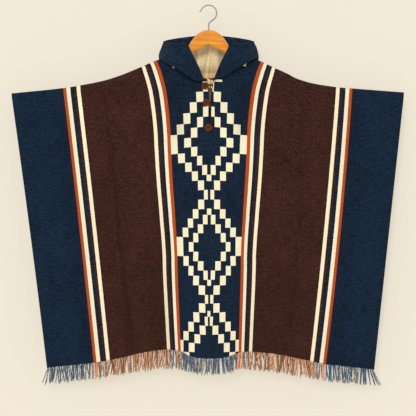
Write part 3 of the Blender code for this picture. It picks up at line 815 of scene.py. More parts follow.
def make_stitches():
    """1 on the stitches of a sewn row, by the length along it and the distance from it."""
    group, given, result = new_group(
        "stitch_row", [("Along", "Float"), ("Off", "Float")], [("Stitch", "Float")]
    )
    along, off = Value(given.outputs["Along"]), Value(given.outputs["Off"])
    on_row = off.absolute().below(STITCH_WIDTH / 2)
    dash = (along / STITCH_PITCH).fraction().below(STITCH_SHARE)
    feed(result.inputs["Stitch"], on_row * dash)
    return group


def make_chart():
    """1 inside the light cells of the charted diamonds, and 0 outside them.

    In each diamond the lit column steps outward row by row, and then back again.
    """
    group, given, result = new_group(
        "diamond_chart",
        [("Outer", "Vector"), ("Inner", "Vector"), ("Cloth", "Vector"), ("Across", "Float")],
        [("Light", "Float")],
    )
    on_panel = Value(given.outputs["Across"]).below(CHART_EDGE)
    side, row = across_and_down(group, given.outputs["Outer"])
    column = side.absolute()
    started = row.above(side.above(0.0) * (FIRST_ROW_RIGHT - FIRST_ROW_LEFT) + FIRST_ROW_LEFT)
    clear = column.above(GAP).math("MAXIMUM", row.below(GAP_STARTS))
    part = row.floor().math("FLOORED_MODULO", REPEAT)
    widest = (REPEAT - 1) / 2
    lit = (part - (widest - 0.5)).absolute() * -1.0 + (widest + 0.5)
    outer = column.floor().math("MINIMUM", widest).equals(lit) * clear * started
    across, down = across_and_down(group, given.outputs["Cloth"])
    across, down = across * 1000.0, down * 1000.0
    right_cell, left_cell = (
        across.above(cell.first) * across.below(cell.last) * down.below(cell.end)
        for cell in PEEPING_CELLS
    )
    shoulder = right_cell + left_cell

    column, row = across_and_down(group, given.outputs["Inner"])
    column = column.absolute()
    clear = column.above(GAP).math("MAXIMUM", row.below(GAP_STARTS))
    row = row - INNER_ROWS_LOWER
    part = row.floor().math("FLOORED_MODULO", REPEAT)
    lit = (part - INNER_MIDDLE_ROW).absolute() * -1.0 + (INNER_MIDDLE_ROW - 1)
    inner = column.floor().equals(lit) * clear
    top_tip = part.equals(0.0) * row.fraction().above(TIP_START)
    low_tip = part.equals(2 * INNER_MIDDLE_ROW) * row.fraction().below(TIP_END)
    tips = (top_tip + low_tip) * column.below(TIP_HALF_WIDTH)
    cells = outer + shoulder + (inner + tips) * row.above(0.0) * row.below(INNER_LAST_ROW)
    feed(result.inputs["Light"], cells.math("MINIMUM", 1.0) * on_panel)
    return group


WEAVE = make_weave()
PAINTED_CREASE_SHADING = make_painted_crease_shading()
STITCHES = make_stitches()
CHART = make_chart()


def with_painted_crease_shading(tree, colour, depth):
    """The colour with painted shade where a crease sinks in and painted light where one stands
    proud.
    """
    light = use_group(tree, PAINTED_CREASE_SHADING, Relief=uv_place(tree, "relief"), Depth=depth)
    return times(tree, colour, light.outputs[0])


def new_material(name, roughness, **constants):
    """A material with its shader, its tree and its constant sockets set."""
    made = bpy.data.materials.new(name)
    made.use_nodes = True
    shader = made.node_tree.nodes["Principled BSDF"]
    shader.inputs["Roughness"].default_value = roughness
    for title, value in constants.items():
        shader.inputs[title.replace("_", " ")].default_value = value
    return made, made.node_tree, shader


DYES = {
    "deep_navy": (0.0062, 0.0164, 0.0362, 1.0),
    "navy": (0.0056, 0.0166, 0.0375, 1.0),
    "blue": (0.0066, 0.0180, 0.0400, 1.0),
    "brown": (0.0414, 0.0142, 0.0101, 1.0),
    "cream": (0.90, 0.83, 0.60, 1.0),
    "orange": (0.48, 0.070, 0.012, 1.0),
}
# the colour of the painted shade along the slit's edges
SLIT_SHADE_COLOUR = (0.008, 0.005, 0.004, 1.0)
YARNS_PER_METRE = 620.0
WOOL_SHEEN = {"Sheen_Weight": 0.04, "Sheen_Roughness": 0.5, "Specular_IOR_Level": 0.12}
DARK_TONE, LIGHT_TONE = 7.0, 0.9  # how strongly the yarns vary in dark and in light wool
DARK_DYE = 0.1  # a dye darker than this counts as dark
CREASE_PAINTED_SHADING = 0.1  # painted shade and light: how much darker or lighter a crease of one millimetre makes the dye
STRIPE_WOBBLE = 1.1  # how far the stripes' edges stray from thread to thread
WEAVE_BUMP = 0.0007  # the height of the yarns, in metres


def striped_wool():
    """The poncho's cloth: stripes along the warp, and the chart in the middle panel."""
    made, tree, shader = new_material("striped_wool", 0.95, **WOOL_SHEEN)
    place = uv_place(tree, "cloth")
    across, down = across_and_down(tree, place)
    wobble = (noise_value(tree, place, (500, 160, 1), 2.0) - 0.5) * STRIPE_WOBBLE
    x = (across * 1000.0).absolute() + wobble
    dyed = DYES[STRIPES[0].dye]
    for stripe in STRIPES[1:]:
        dyed = mixed_colour(tree, x.above(stripe.start), dyed, DYES[stripe.dye])
    chart = use_group(
        tree,
        CHART,
        Outer=uv_place(tree, "outer_chart"),
        Inner=uv_place(tree, "inner_chart"),
        Cloth=place,
        Across=x,
    )
    dyed = mixed_colour(tree, chart.outputs[0], dyed, DYES["cream"])
    # painted shade along the slit's edges, down to where the slit ends
    slit_shade = x.below(SLIT_SHADE_WIDTH) * down.below(SLIT_END / 1000)
    dyed = mixed_colour(tree, slit_shade, dyed, SLIT_SHADE_COLOUR)
    light = Value(add_node(tree, "RGBToBW", Color=dyed).outputs[0])
    weave = use_group(tree, WEAVE, Place=place, Yarns=YARNS_PER_METRE)
    depth = light.below(DARK_DYE) * (DARK_TONE - LIGHT_TONE) + LIGHT_TONE
    dyed = times(tree, dyed, yarn_tone(weave, depth))
    feed(shader.inputs["Base Color"], with_painted_crease_shading(tree, dyed, CREASE_PAINTED_SHADING))
    feed(shader.inputs["Normal"], bumped(tree, weave.outputs["Height"], 0.5, WEAVE_BUMP))
    return made


HOOD_TONE = 12.0
HOOD_MOTTLE = 0.9
RIM_STITCHES = 0.183  # the sewn row's distance from the seam, along the cloth
STITCH_THREAD = (0.020, 0.036, 0.062, 1.0)
STITCH_HEIGHT = 1.4  # how far it stands above the weave, in heights of its yarns


def hood_wool():
    """Plain woven wool, softly mottled, with a sewn row inside the hood's rim."""
    made, tree, shader = new_material("navy_wool", 0.95, **WOOL_SHEEN)
    place = uv_place(tree, "cloth")
    weave = use_group(tree, WEAVE, Place=place, Yarns=YARNS_PER_METRE)
    colour = times(tree, DYES["blue"], yarn_tone(weave, HOOD_TONE))
    mottle = noise_value(tree, place, (42, 60, 1), 3.0, 0.6)
    colour = toned(tree, colour, mottle, HOOD_MOTTLE)
    along, rise = across_and_down(tree, place)
    sewn = use_group(tree, STITCHES, Along=along, Off=rise - RIM_STITCHES)
    stitch = Value(sewn.outputs[0])
    colour = mixed_colour(tree, stitch, colour, STITCH_THREAD)
    feed(shader.inputs["Base Color"], with_painted_crease_shading(tree, colour, CREASE_PAINTED_SHADING))
    height = Value(weave.outputs["Height"]) + stitch * STITCH_HEIGHT
    feed(shader.inputs["Normal"], bumped(tree, height, 0.5, WEAVE_BUMP))
    return made


COTTON_SHADES = ((0.88, 0.69, 0.38, 1.0), (1.0, 0.89, 0.57, 1.0))
COTTON_YARNS = 1500.0  # to the metre
# painted shade and light of the lining's creases and gathers, per millimetre of relief
COTTON_PAINTED_SHADING = 0.2
GATHER_SHADE_FROM, GATHER_SHADE_OVER = 0.172, 0.020  # painted shade of the gathers: it darkens from this far below the hook, over this length
GATHER_SHADE_TINT = (0.66, 0.62, 0.54, 1.0)
FACING_TOP = 0.199  # and ends in a warmer band below here
FACING_TINT = (0.92, 0.79, 0.60, 1.0)
WHITE = (1.0, 1.0, 1.0, 1.0)


def lining_cotton():
    """Fine plain cotton with small puckers, and a darker, browner band of painted shade from its
    gathers above the neck facing.
    """
    made, tree, shader = new_material("lining_cotton", 0.8, Sheen_Weight=0.06)
    place = uv_place(tree, "cloth")
    weave = use_group(tree, WEAVE, Place=place, Yarns=COTTON_YARNS)
    clouds = noise_value(tree, place, (26, 18, 1), 3.0, 0.6)
    base = mixed_colour(tree, clouds, *COTTON_SHADES)
    base = toned(tree, base, Value(weave.outputs["Tone"]), 0.3)
    spot = add_node(tree, "SeparateXYZ", Vector=object_place(tree))
    height = Value(spot.outputs[2])
    # a band of painted shade under the lining's lowest gathers, down to the facing
    band = (height * -1.0 - GATHER_SHADE_FROM) / GATHER_SHADE_OVER
    gather_shade = band.math("MAXIMUM", 0.0).math("MINIMUM", 1.0)
    tint = mixed_colour(tree, gather_shade, WHITE, GATHER_SHADE_TINT)
    tint = mixed_colour(tree, height.below(-FACING_TOP), tint, FACING_TINT)
    base = mixed_colour(tree, 1.0, base, tint, "MULTIPLY")
    feed(shader.inputs["Base Color"], with_painted_crease_shading(tree, base, COTTON_PAINTED_SHADING))
    puckers = noise_value(tree, place, (120, 30, 1), 3.0)
    relief = Value(weave.outputs["Height"]) * 0.1 + puckers
    feed(shader.inputs["Normal"], bumped(tree, relief, 0.7, 0.0020))
    return made


TWILL_YARNS, TWILL_RIBS = 1200.0, 4200.0
TWILL_PALE = (0.78, 0.56, 0.29, 1.0)
TWILL_SHADE_BANDS = (  # painted shade of the deep slit: where it darkens on its way down, and to which colour
    (0.104, (0.128, 0.094, 0.050, 1.0)),
    (0.146, (0.006, 0.004, 0.004, 1.0)),
)
TWILL_FOLD, TWILL_FOLD_HALF_WIDTH = 0.0055, 0.0006
TWILL_FOLD_SHADE = (0.20, 0.13, 0.06, 1.0)


def backing_twill():
    """Twill in its own slanting weave: pale at the neck, then painted shade of the deep slit
    below, first olive-brown and then dark.
    """
    made, tree, shader = new_material("twill_with_slit_shade", 0.9, Specular_IOR_Level=0.2)
    place = uv_place(tree, "cloth")
    weave = use_group(tree, WEAVE, Place=place, Yarns=TWILL_YARNS)
    across, down = across_and_down(tree, place)
    dyed = TWILL_PALE
    for start, dye in TWILL_SHADE_BANDS:
        dyed = mixed_colour(tree, down.above(start), dyed, dye)
    on_fold = (across - TWILL_FOLD).absolute().below(TWILL_FOLD_HALF_WIDTH)
    crease = on_fold * down.below(TWILL_SHADE_BANDS[0][0])
    dyed = mixed_colour(tree, crease, dyed, TWILL_FOLD_SHADE)
    feed(shader.inputs["Base Color"], toned(tree, dyed, Value(weave.outputs["Tone"]), 0.5))
    ribs = ((across + down) * TWILL_RIBS).sine() * 0.5 + 0.5
    height = ribs * 0.6 + Value(weave.outputs["Height"]) * 0.4
    feed(shader.inputs["Normal"], bumped(tree, height, 0.5, 0.0004))
    return made


def yarn(name, light, dark):
    """Loose wool yarn, between two shades."""
    made, tree, shader = new_material(name, 0.9, Sheen_Weight=0.2, Sheen_Roughness=0.5)
    place = object_place(tree)
    shade = noise_value(tree, place, (160, 160, 60), 3.0)
    feed(shader.inputs["Base Color"], mixed_colour(tree, shade, dark, light))
    fuzz = noise_value(tree, place, (1800, 1800, 900), 3.0)
    feed(shader.inputs["Normal"], bumped(tree, fuzz, 0.7, 0.0005))
    return made


WOOD_SHADES = ((0.64, 0.20, 0.002, 1.0), (1.0, 0.385, 0.012, 1.0))
WOOD_CONTRAST = 1.7
WOOD_JOIN, WOOD_LEFT_DARKER = 0.0015, 0.07  # it is joined here from two lengths of wood


def hanger_varnished():
    """Pale wood with a warm clear varnish, its grain along the arms."""
    made, tree, shader = new_material(
        "varnished_wood", 0.45, Coat_Weight=0.08, Coat_Roughness=0.3, Specular_IOR_Level=0.2
    )
    place = object_place(tree)
    grain = noise_value(tree, place, (9, 60, 260), 4.0, 0.6)
    rings = noise_value(tree, place, (3, 20, 38), 2.0)
    wave = (rings * 22.0).sine() * 0.5 + 0.5
    tone = (grain * 0.65 + wave * 0.35 - 0.5) * WOOD_CONTRAST + 0.5
    wood = mixed_colour(tree, tone, *WOOD_SHADES)
    across, _ = across_and_down(tree, place)
    light = across.below(WOOD_JOIN) * -WOOD_LEFT_DARKER + 1.0
    feed(shader.inputs["Base Color"], times(tree, wood, light))
    feed(shader.inputs["Normal"], bumped(tree, grain, 0.12, 0.0006))
    return made


BUTTON_SHADES = ((0.040, 0.0090, 0.0014, 1.0), (0.245, 0.055, 0.0060, 1.0))
# A painted highlight on a ring round the button's raised rim: this far from its middle, and this
# wide.
BUTTON_HIGHLIGHT_RIM, BUTTON_HIGHLIGHT_WIDTH = 9.4, 2.0
BUTTON_RINGS = 5200.0


def button_wood():
    """Dark turned wood, with rings round each button's middle and a painted highlight round its
    raised rim.
    """
    made, tree, shader = new_material("turned_wood", 0.65, Specular_IOR_Level=0.12)
    grain = noise_value(tree, object_place(tree), (260, 260, 900), 4.0, 0.65)
    wood = mixed_colour(tree, grain, *BUTTON_SHADES)
    reach = add_node(tree, "VectorMath", operation="LENGTH")
    feed(reach.inputs[0], uv_place(tree, "face"))
    radius = Value(reach.outputs["Value"])
    from_rim = (radius * 1000.0 - BUTTON_HIGHLIGHT_RIM).absolute()
    rim_highlight = (from_rim / -BUTTON_HIGHLIGHT_WIDTH + 1.0).math("MAXIMUM", 0.0)
    # lighter on the rim's ring as a painted highlight, darker off it
    feed(shader.inputs["Base Color"], times(tree, wood, rim_highlight * 0.6 + 0.7))
    rings = (radius * BUTTON_RINGS).sine() * 0.3
    feed(shader.inputs["Normal"], bumped(tree, grain + rings, 0.3, 0.0004))
    return made


STEEL_SHADES = ((0.26, 0.25, 0.25, 1.0), (0.44, 0.43, 0.42, 1.0))


def hook_steel():
    """Plated wire."""
    made, tree, shader = new_material("plated_wire", 0.5, Metallic=1.0)
    shade = noise_value(tree, object_place(tree), (300, 300, 60), 3.0)
    feed(shader.inputs["Base Color"], mixed_colour(tree, shade, *STEEL_SHADES))
    feed(shader.inputs["Roughness"], shade * 0.2 + 0.42)
    return made


CORD_RIDGES = 4200.0


def twisted_cord(name, light, dark):
    """Cord whose strands twist, as slanting ridges, with painted shade in the grooves between
    them.
    """
    made, tree, shader = new_material(name, 0.75)
    place = object_place(tree)
    parts = add_node(tree, "SeparateXYZ", Vector=place)
    slant = Value(parts.outputs[0]) + Value(parts.outputs[2])
    ridges = (slant * CORD_RIDGES).sine() * 0.5 + 0.5
    # the dark colour in the grooves between the ridges is painted shade
    feed(shader.inputs["Base Color"], mixed_colour(tree, ridges, dark, light))
    feed(shader.inputs["Normal"], bumped(tree, ridges, 0.6, 0.0004))
    return made


striped = striped_wool()
navy_wool = hood_wool()
cotton = lining_cotton()
slit_twill = backing_twill()
FRINGE_YARNS = {
    "blue": yarn("dusty_blue_yarn", (0.115, 0.200, 0.310, 1.0), (0.020, 0.050, 0.105, 1.0)),
    "pale": yarn("pale_yarn", (0.56, 0.50, 0.40, 1.0), (0.25, 0.23, 0.185, 1.0)),
    "sand": yarn("sand_yarn", (0.84, 0.55, 0.33, 1.0), (0.50, 0.27, 0.145, 1.0)),
    "tan": yarn("tan_yarn", (0.72, 0.34, 0.17, 1.0), (0.42, 0.16, 0.070, 1.0)),
    "rust": yarn("rust_yarn", (0.34, 0.145, 0.075, 1.0), (0.16, 0.055, 0.028, 1.0)),
    "orange": yarn("orange_yarn", (0.95, 0.42, 0.20, 1.0), (0.76, 0.23, 0.08, 1.0)),
}
varnished = hanger_varnished()
turned = button_wood()
plated = hook_steel()
cord_dark = twisted_cord("dark_cord", (0.010, 0.006, 0.004, 1.0), (0.003, 0.002, 0.001, 1.0))
cord_brown = twisted_cord("brown_cord", (0.22, 0.085, 0.018, 1.0), (0.080, 0.030, 0.006, 1.0))
sewing_thread = twisted_cord("sewing_thread", (0.05, 0.03, 0.02, 1.0), (0.02, 0.012, 0.01, 1.0))


# ---------------------------------------------------------------- the body cloth
def side_columns(hand):
    """Places across one half of the cloth, closer together at the neck hole."""
    turns = range(0, 91, NECK_COLUMN_TURN)
    neck = [NECK_HALF_WIDTH * math.sin(math.radians(turn)) for turn in turns]
    count = round((HALF_WIDTH - NECK_HALF_WIDTH) / COLUMN_WIDTH)
    step = (HALF_WIDTH - NECK_HALF_WIDTH) / count
    rest = [NECK_HALF_WIDTH + step * (k + 1) for k in range(count)]
    return [hand * place for place in neck + rest]


def body_rows():
    """Places down the cloth's middle line, closer together at the shoulder fold."""
    middle = cloth_length(0.0)
    fold = [FOLD_RADIUS * math.radians(turn) for turn in FOLD_ROW_TURNS]
    count = round((middle - fold[-1]) / ROW_HEIGHT)
    step = (middle - fold[-1]) / count
    return fold + [fold[-1] + step * (k + 1) for k in range(count)]


@lru_cache(maxsize=None)
def body_point(side, across, row, edge):
    """A point of the visible cloth, with its creases, and how far down it lies."""
    top = neck_edge(side, across)
    down = top + (cloth_length(across) - top) * row / cloth_length(0.0)
    point = cloth_point(side, across, down, edge)
    point.y += side * crease_relief(side, across, down)
    return point, down


def body_half(side, name, node):
    """The front or back half of the body cloth."""

    def half(hand):
        def place(across, row):
            return body_point(side, across, row, hand)[0]

        def cloth_map(across, row, point):
            down = body_point(side, across, row, hand)[1]
            return stripe_place(across, point.z) / 1000, down / 1000

        # the relief again, as a map from which the dye gets its painted shade and light
        def relief_map(across, row, point):
            return crease_relief(side, across, body_point(side, across, row, hand)[1]), 0.0

        def outer_map(across, row, point):
            return chart_place(point, OUTER_COLUMNS, OUTER_SHIFTS)

        def inner_map(across, row, point):
            return chart_place(point, INNER_COLUMNS, INNER_SHIFTS)

        maps = (
            ("cloth", cloth_map),
            ("relief", relief_map),
            ("outer_chart", outer_map),
            ("inner_chart", inner_map),
        )
        return grid_sheet(side_columns(hand), body_rows(), place, maps)

    sheet = join_sheets([half(-1), half(1)])
    return cloth_piece(name, sheet, striped, node, CLOTH_WALL)


cloth_front = body_half(FRONT, "cloth_front", "poncho_front")
cloth_back = body_half(BACK, "cloth_back", "poncho_back")


# ---------------------------------------------------------------- the hood
def hood_section(at, hand):
    """The seam, low place and rim at this place between two rows of HOOD_SECTIONS."""
    beyond = HOOD_SECTIONS[-2]
    mirror = Vector((-1, 1, 1))
    sections = [
        *HOOD_SECTIONS,
        Section(360 - beyond.seam_turn, mirror * Vector(beyond.low), mirror * Vector(beyond.rim)),
    ]
    places = list(range(len(sections)))
    turn = through(places, [row.seam_turn for row in sections], at)
    low = through(places, [Vector(row.low) for row in sections], at)
    rim = through(places, [Vector(row.rim) for row in sections], at)
    if hand > 0:
        beside_slit = within(turn, *RIGHT_ROLL_SPAN)
        low.z += RIGHT_ROLL_RAISED * beside_slit
        low.y += RIGHT_ROLL_FLATTER * beside_slit
    else:
        low.z -= LEFT_CORNER_LOWERED * within(turn, *LEFT_CORNER_SPAN)
    across = -NECK_HALF_WIDTH * math.sin(math.radians(turn))
    side = FRONT if turn < 90 else BACK
    down = NECK_DEPTH[side] * abs(math.cos(math.radians(turn)))
    lift = CLOTH_WALL / 2 + SEAM_GAP + HOOD_WALL / 2
    return raised(side, across, down, lift, -1), low, rim, turn


def hood_point(at, rise, hand):
    """A point on the middle of a hood half's wall, drawn on the left. A rise of 0 is the seam."""
    seam, low, rim, turn = hood_section(at, hand)
    turning = rim - seam
    behind = ease((turn - POUCH_STARTS) / POUCH_BLEND)
    turning.z *= 1 - POUCH_LEVEL * behind
    turning *= 1 + (POUCH_ROUNDNESS - 1) * behind
    if rise < LOW_AT:
        falling = (low - seam) / LOW_AT
        return hermite(seam, low, falling, turning, LOW_AT, rise / LOW_AT)
    rising = (rim - low) / (1 - LOW_AT)
    return hermite(low, rim, turning, rising, 1 - LOW_AT, (rise - LOW_AT) / (1 - LOW_AT))


def hood_inward(at, rise, hand):
    """The direction from the hood's wall towards the inside of the hood."""
    step = 0.02
    a0, a1 = max(at - step, 0), at + step
    r0, r1 = max(rise - step, 0), min(rise + step, 1)
    along = hood_point(a1, rise, hand) - hood_point(a0, rise, hand)
    up = hood_point(at, r1, hand) - hood_point(at, r0, hand)
    return along.cross(up).normalized()


# Creases of the hood, from one place of its cloth to another: `at` counts the sections. Their
# relief, with the rolled rim, the centre seam's dip and the lining's gathers, also paints shade
# and light into the dye.
HoodCrease = namedtuple("HoodCrease", "at rise end_at end_rise half_width depth")
HOOD_CREASES = {
    -1: (
        HoodCrease(2.2, 0.62, 4.4, 0.80, 9, 1.6),
        HoodCrease(1.2, 0.60, 2.6, 0.86, 7, -1.3),
        HoodCrease(3.0, 0.70, 3.9, 0.96, 8, -1.5),
        HoodCrease(4.2, 0.55, 5.2, 0.90, 10, 1.4),
        HoodCrease(6.4, 0.30, 6.9, 0.80, 14, -2.2),
        HoodCrease(7.6, 0.42, 8.0, 0.92, 16, 2.0),
        HoodCrease(8.4, 0.50, 8.2, 0.86, 10, -1.6),
    ),
    1: (
        HoodCrease(1.8, 0.64, 4.1, 0.74, 9, 1.4),
        HoodCrease(1.0, 0.58, 2.2, 0.82, 7, -1.2),
        HoodCrease(3.3, 0.68, 4.2, 0.94, 8, -1.6),
        HoodCrease(4.6, 0.55, 5.4, 0.88, 10, 1.5),
        HoodCrease(6.1, 0.34, 6.8, 0.84, 13, -2.0),
        HoodCrease(7.3, 0.44, 7.7, 0.90, 15, 2.1),
        HoodCrease(8.3, 0.46, 8.5, 0.88, 11, -1.5),
    ),
}
AT_LENGTH, RISE_LENGTH = 52.0, 190.0  # about how long a section and the whole rise are
LAST_SECTION = len(HOOD_SECTIONS) - 1
HOOD_CREASE_BEYOND, HOOD_CREASE_FADE = 0.3, 0.4  # how its creases fade past their ends
HOOD_RIPPLE, HOOD_RIPPLE_GROWS = 1.1, 0.25  # from its seam up
HOOD_RIPPLE_RATES = (0.9, 3.4, 40)  # round the hood, up its cloth and from half to half
RIM_ROLL = 1.6  # the turned rim stands proud of the rest, and its relief paints it lighter
RIM_ROLL_WIDTH = 7.0
CENTRE_SEAM_DIP, CENTRE_SEAM_WIDTH = 1.1, 4
GATHER_RATE, GATHER_DEPTH = 17.0, 1.5  # of the lining, round the hood
GATHERS_START = 3  # the section from which it is gathered
Gather = namedtuple("Gather", "share rate sway turn")
GATHERS = (Gather(1.0, 1.0, 4.0, 0.0), Gather(0.6, 2.2, 7.0, 1.3))
GATHER_SWAY_RATES = (1.1, 2.6, 90)
GATHER_UNEVEN_RATES = (2.0, 3.0, 17)
GATHER_EVEN, GATHER_UNEVEN = 0.55, 0.9
SEAM_SWAY, SEAM_SWAY_RATE = 7.0, 8.0  # how the lining's centre seam wanders
SEAM_SWAY_WIDTH = 45.0


def hood_noise(rates, at, rise, hand):
    """Smooth noise from -1 to 1 over a hood half, which changes at these rates."""
    return noise.noise(Vector((at * rates[0], rise * rates[1], rates[2] * hand)))


@lru_cache(maxsize=None)
def hood_relief(at, rise, hand):
    """How far the hood's creases bring its cloth out."""
    wave = hood_noise(HOOD_RIPPLE_RATES, at, rise, hand)
    relief = HOOD_RIPPLE * wave * ease(rise / HOOD_RIPPLE_GROWS)
    for crease in HOOD_CREASES[hand]:
        start = Vector((crease.at * AT_LENGTH, crease.rise * RISE_LENGTH))
        run = Vector((crease.end_at * AT_LENGTH, crease.end_rise * RISE_LENGTH)) - start
        offset = Vector((at * AT_LENGTH, rise * RISE_LENGTH)) - start
        along = offset.dot(run) / run.length_squared
        off = abs(offset.x * run.y - offset.y * run.x) / run.length
        to_end = HOOD_CREASE_BEYOND + min(along, 1 - along)
        ends = ease(to_end / HOOD_CREASE_FADE)
        relief += crease.depth * math.exp(-((off / crease.half_width) ** 2)) * ends
    to_rim = (1 - rise) * RISE_LENGTH
    relief += RIM_ROLL * (1 - ease(to_rim / RIM_ROLL_WIDTH))
    return relief


@lru_cache(maxsize=None)
def hood_cloth_relief(at, rise, hand):
    """The hood's creases, and the dip along its centre seam."""
    to_seam = (LAST_SECTION - at) * AT_LENGTH
    dip = CENTRE_SEAM_DIP * math.exp(-((to_seam / CENTRE_SEAM_WIDTH) ** 2))
    return hood_relief(at, rise, hand) - dip


def even_steps(start, end, step):
    """Places from start to end that are about this step apart."""
    count = max(1, round((end - start) / step))
    return [start + (end - start) * k / count for k in range(count + 1)]


@lru_cache(maxsize=None)
def lining_relief(at, rise, hand):
    """The hood's creases, and the lining's own loose gathers from its seam to its rim."""
    sway = hood_noise(GATHER_SWAY_RATES, at, rise, hand)
    depth = 0.0
    for gather in GATHERS:
        turn = gather.rate * GATHER_RATE * at + gather.sway * sway + gather.turn
        depth += gather.share * math.sin(turn)
    depth *= GATHER_EVEN + GATHER_UNEVEN * hood_noise(GATHER_UNEVEN_RATES, at, rise, hand)
    return hood_relief(at, rise, hand) + GATHER_DEPTH * depth * ease(at - GATHERS_START)


# A sheet on the hood's form: how far it is set in from the middle of its wall, its relief,
# how far its centre seam wanders and rises, and how far it stands from that seam.
HoodLayer = namedtuple("HoodLayer", "inset relief sway lift seam_gap")


def hood_sheet(hand, columns, rows, layer):
    """One half of a sheet on the hood's form."""

    def place(at, rise):
        rise *= 1 + layer.lift * ease((at - LIFT_STARTS) / LIFT_BLEND)
        relief = layer.relief(at, rise, hand)
        point = hood_point(at, rise, hand)
        point += (layer.inset - relief) * hood_inward(at, rise, hand)
        point.x = hand * max(abs(point.x), layer.seam_gap)
        near_seam = 1 - ease(abs(point.x) / SEAM_SWAY_WIDTH)
        point.x += layer.sway * math.sin(SEAM_SWAY_RATE * rise) * near_seam
        return point

    def cloth_map(at, rise, point):
        return at * AT_LENGTH / 1000, rise * RISE_LENGTH / 1000

    # the relief again, as a map from which the dye gets its painted shade and light
    def relief_map(at, rise, point):
        return layer.relief(at, rise, hand), 0.0

    return grid_sheet(columns, rows, place, (("cloth", cloth_map), ("relief", relief_map)))


def hood_half(hand, name, node):
    """One half of the hood's outer cloth."""
    columns = even_steps(0, LAST_SECTION, HOOD_COLUMN_STEP)
    rows = even_steps(0, 1, 1 / HOOD_ROW_COUNT)
    layer = HoodLayer(0.0, hood_cloth_relief, 0.0, 0.0, SEAM_GAP)
    sheet = hood_sheet(hand, columns, rows, layer)
    return cloth_piece(name, sheet, navy_wool, node, HOOD_WALL)


def lining_half(hand, name, node):
    """One half of the hood's lining, just inside the outer cloth."""
    inset = HOOD_WALL / 2 + LINING_GAP + LINING_WALL / 2 + GATHER_DEPTH
    columns = even_steps(LINING_COLUMN_START, LAST_SECTION, HOOD_COLUMN_STEP)
    rows = even_steps(LINING_FIRST, LINING_LAST, 1 / HOOD_ROW_COUNT)
    layer = HoodLayer(inset, lining_relief, SEAM_SWAY, LINING_LIFT, LINING_SEAM_GAP)
    sheet = hood_sheet(hand, columns, rows, layer)
    return cloth_piece(name, sheet, cotton, node, LINING_WALL)


hood_left = hood_half(-1, "hood_cloth_left", "hood_left")
hood_right = hood_half(1, "hood_cloth_right", "hood_right")
hood_lining_left = lining_half(-1, "hood_lining_left", "lining_left")
hood_lining_right = lining_half(1, "hood_lining_right", "lining_right")


# ---------------------------------------------------------------- cords, yarns and wires
def as_mesh(name, made):
    """A curve or a piece with modifiers, turned into a plain mesh. The original is removed."""
    bpy.context.scene.collection.objects.link(made)
    seen = made.evaluated_get(bpy.context.evaluated_depsgraph_get())
    mesh = bpy.data.meshes.new_from_object(seen)
    mesh.name = name
    bpy.data.objects.remove(made)
    return mesh


Strand = namedtuple("Strand", "points radii finish")


def cord_mesh(name, strands, radius, finishes, sides=6):
    """One closed mesh of many round strands, whose radii are shares of the whole one."""
    curve = bpy.data.curves.new(name, "CURVE")
    curve.dimensions = "3D"
    curve.bevel_depth = metres(radius)
    curve.bevel_resolution = sides // 2 - 2
    curve.use_fill_caps = True
    for finish in finishes:
        curve.materials.append(finish)
    for strand in strands:
        spline = curve.splines.new("POLY")
        spline.points.add(len(strand.points) - 1)
        spline.material_index = strand.finish
        spline.use_smooth = True
        for slot, point, share in zip(spline.points, strand.points, strand.radii):
            slot.co = (*metres(point), 1.0)
            slot.radius = share
    return as_mesh(name, bpy.data.objects.new(name, curve))


def smooth_path(points, steps):
    """Points close together on a smooth curve through these, by their place along it."""
    lengths = [0.0]
    for before, after in zip(points, points[1:]):
        lengths.append(lengths[-1] + (after - before).length)
    return [through(lengths, points, lengths[-1] * k / steps) for k in range(steps + 1)]


def twisted(path, spread, pitch, start, plies=2, loosen=0.0):
    """The plies' middle lines round a path. loosen opens the twist towards the far end."""
    lines = [[] for _ in range(plies)]
    length = 0.0
    for k, point in enumerate(path):
        ahead = path[min(k + 1, len(path) - 1)] - path[max(k - 1, 0)]
        length += (path[k] - path[k - 1]).length if k else 0.0
        side = ahead.cross(Vector((0.13, 1, 0.21))).normalized()
        front = ahead.cross(side).normalized()
        reach = spread * (1 + loosen * (k / (len(path) - 1)) ** 3)
        for ply, line in enumerate(lines):
            turn = start + 2 * math.pi * (length / pitch + ply / plies)
            line.append(point + reach * (math.cos(turn) * side + math.sin(turn) * front))
    return lines


# ---------------------------------------------------------------- the fringe
STRANDS = {FRONT: 200, BACK: 164}
STRAND_IN_CLOTH = 1.5  # how far its root lies inside the cloth's edge
STRAND_OUT = (-1.5, 4.0)  # how far its tip swings away from the hem
STRAND_BOW = 2.2
STRAND_STEPS = 12
STRAND_STRAY = 0.28  # of the gap between two strands
PLY_RADIUS = 1.3
PLY_SPREAD = 0.95
PLY_LOOSENING = 0.7  # the plies part towards the tip
TIP_THINNING = 0.5
TWIST_PITCH = 15.0
LEAN = 14.0  # degrees that strands lean to either side at most, in patches
LEAN_PATCH = 42.0
LEAN_CHANGE = 7.0
CORNER_LEAN, CORNER_WIDTH = 19.0, 30.0  # the last strands lean outward
BUNCHES = (1, 2, 2, 3, 3, 4)  # strands that cling together
CLUMPING = 0.75  # how far the tips of one bunch come together
CLUMPING_CHANGE = (0.4, 1.3)
YARN_ORDER = tuple(FRINGE_YARNS)
FringeLength = namedtuple("FringeLength", "across length")
FRINGE_LENGTHS = (
    FringeLength(-572, 49),
    FringeLength(-330, 49),
    FringeLength(-240, 53),
    FringeLength(-150, 56),
    FringeLength(-80, 49),
    FringeLength(60, 49),
    FringeLength(170, 53),
    FringeLength(300, 54),
    FringeLength(400, 49),
    FringeLength(572, 49),
)
STRAND_LENGTH_CHANGE = (-4.8, 2.4)
STRIPE_MIXING = 2  # strands this near a stripe's edge may be of the next one's yarn
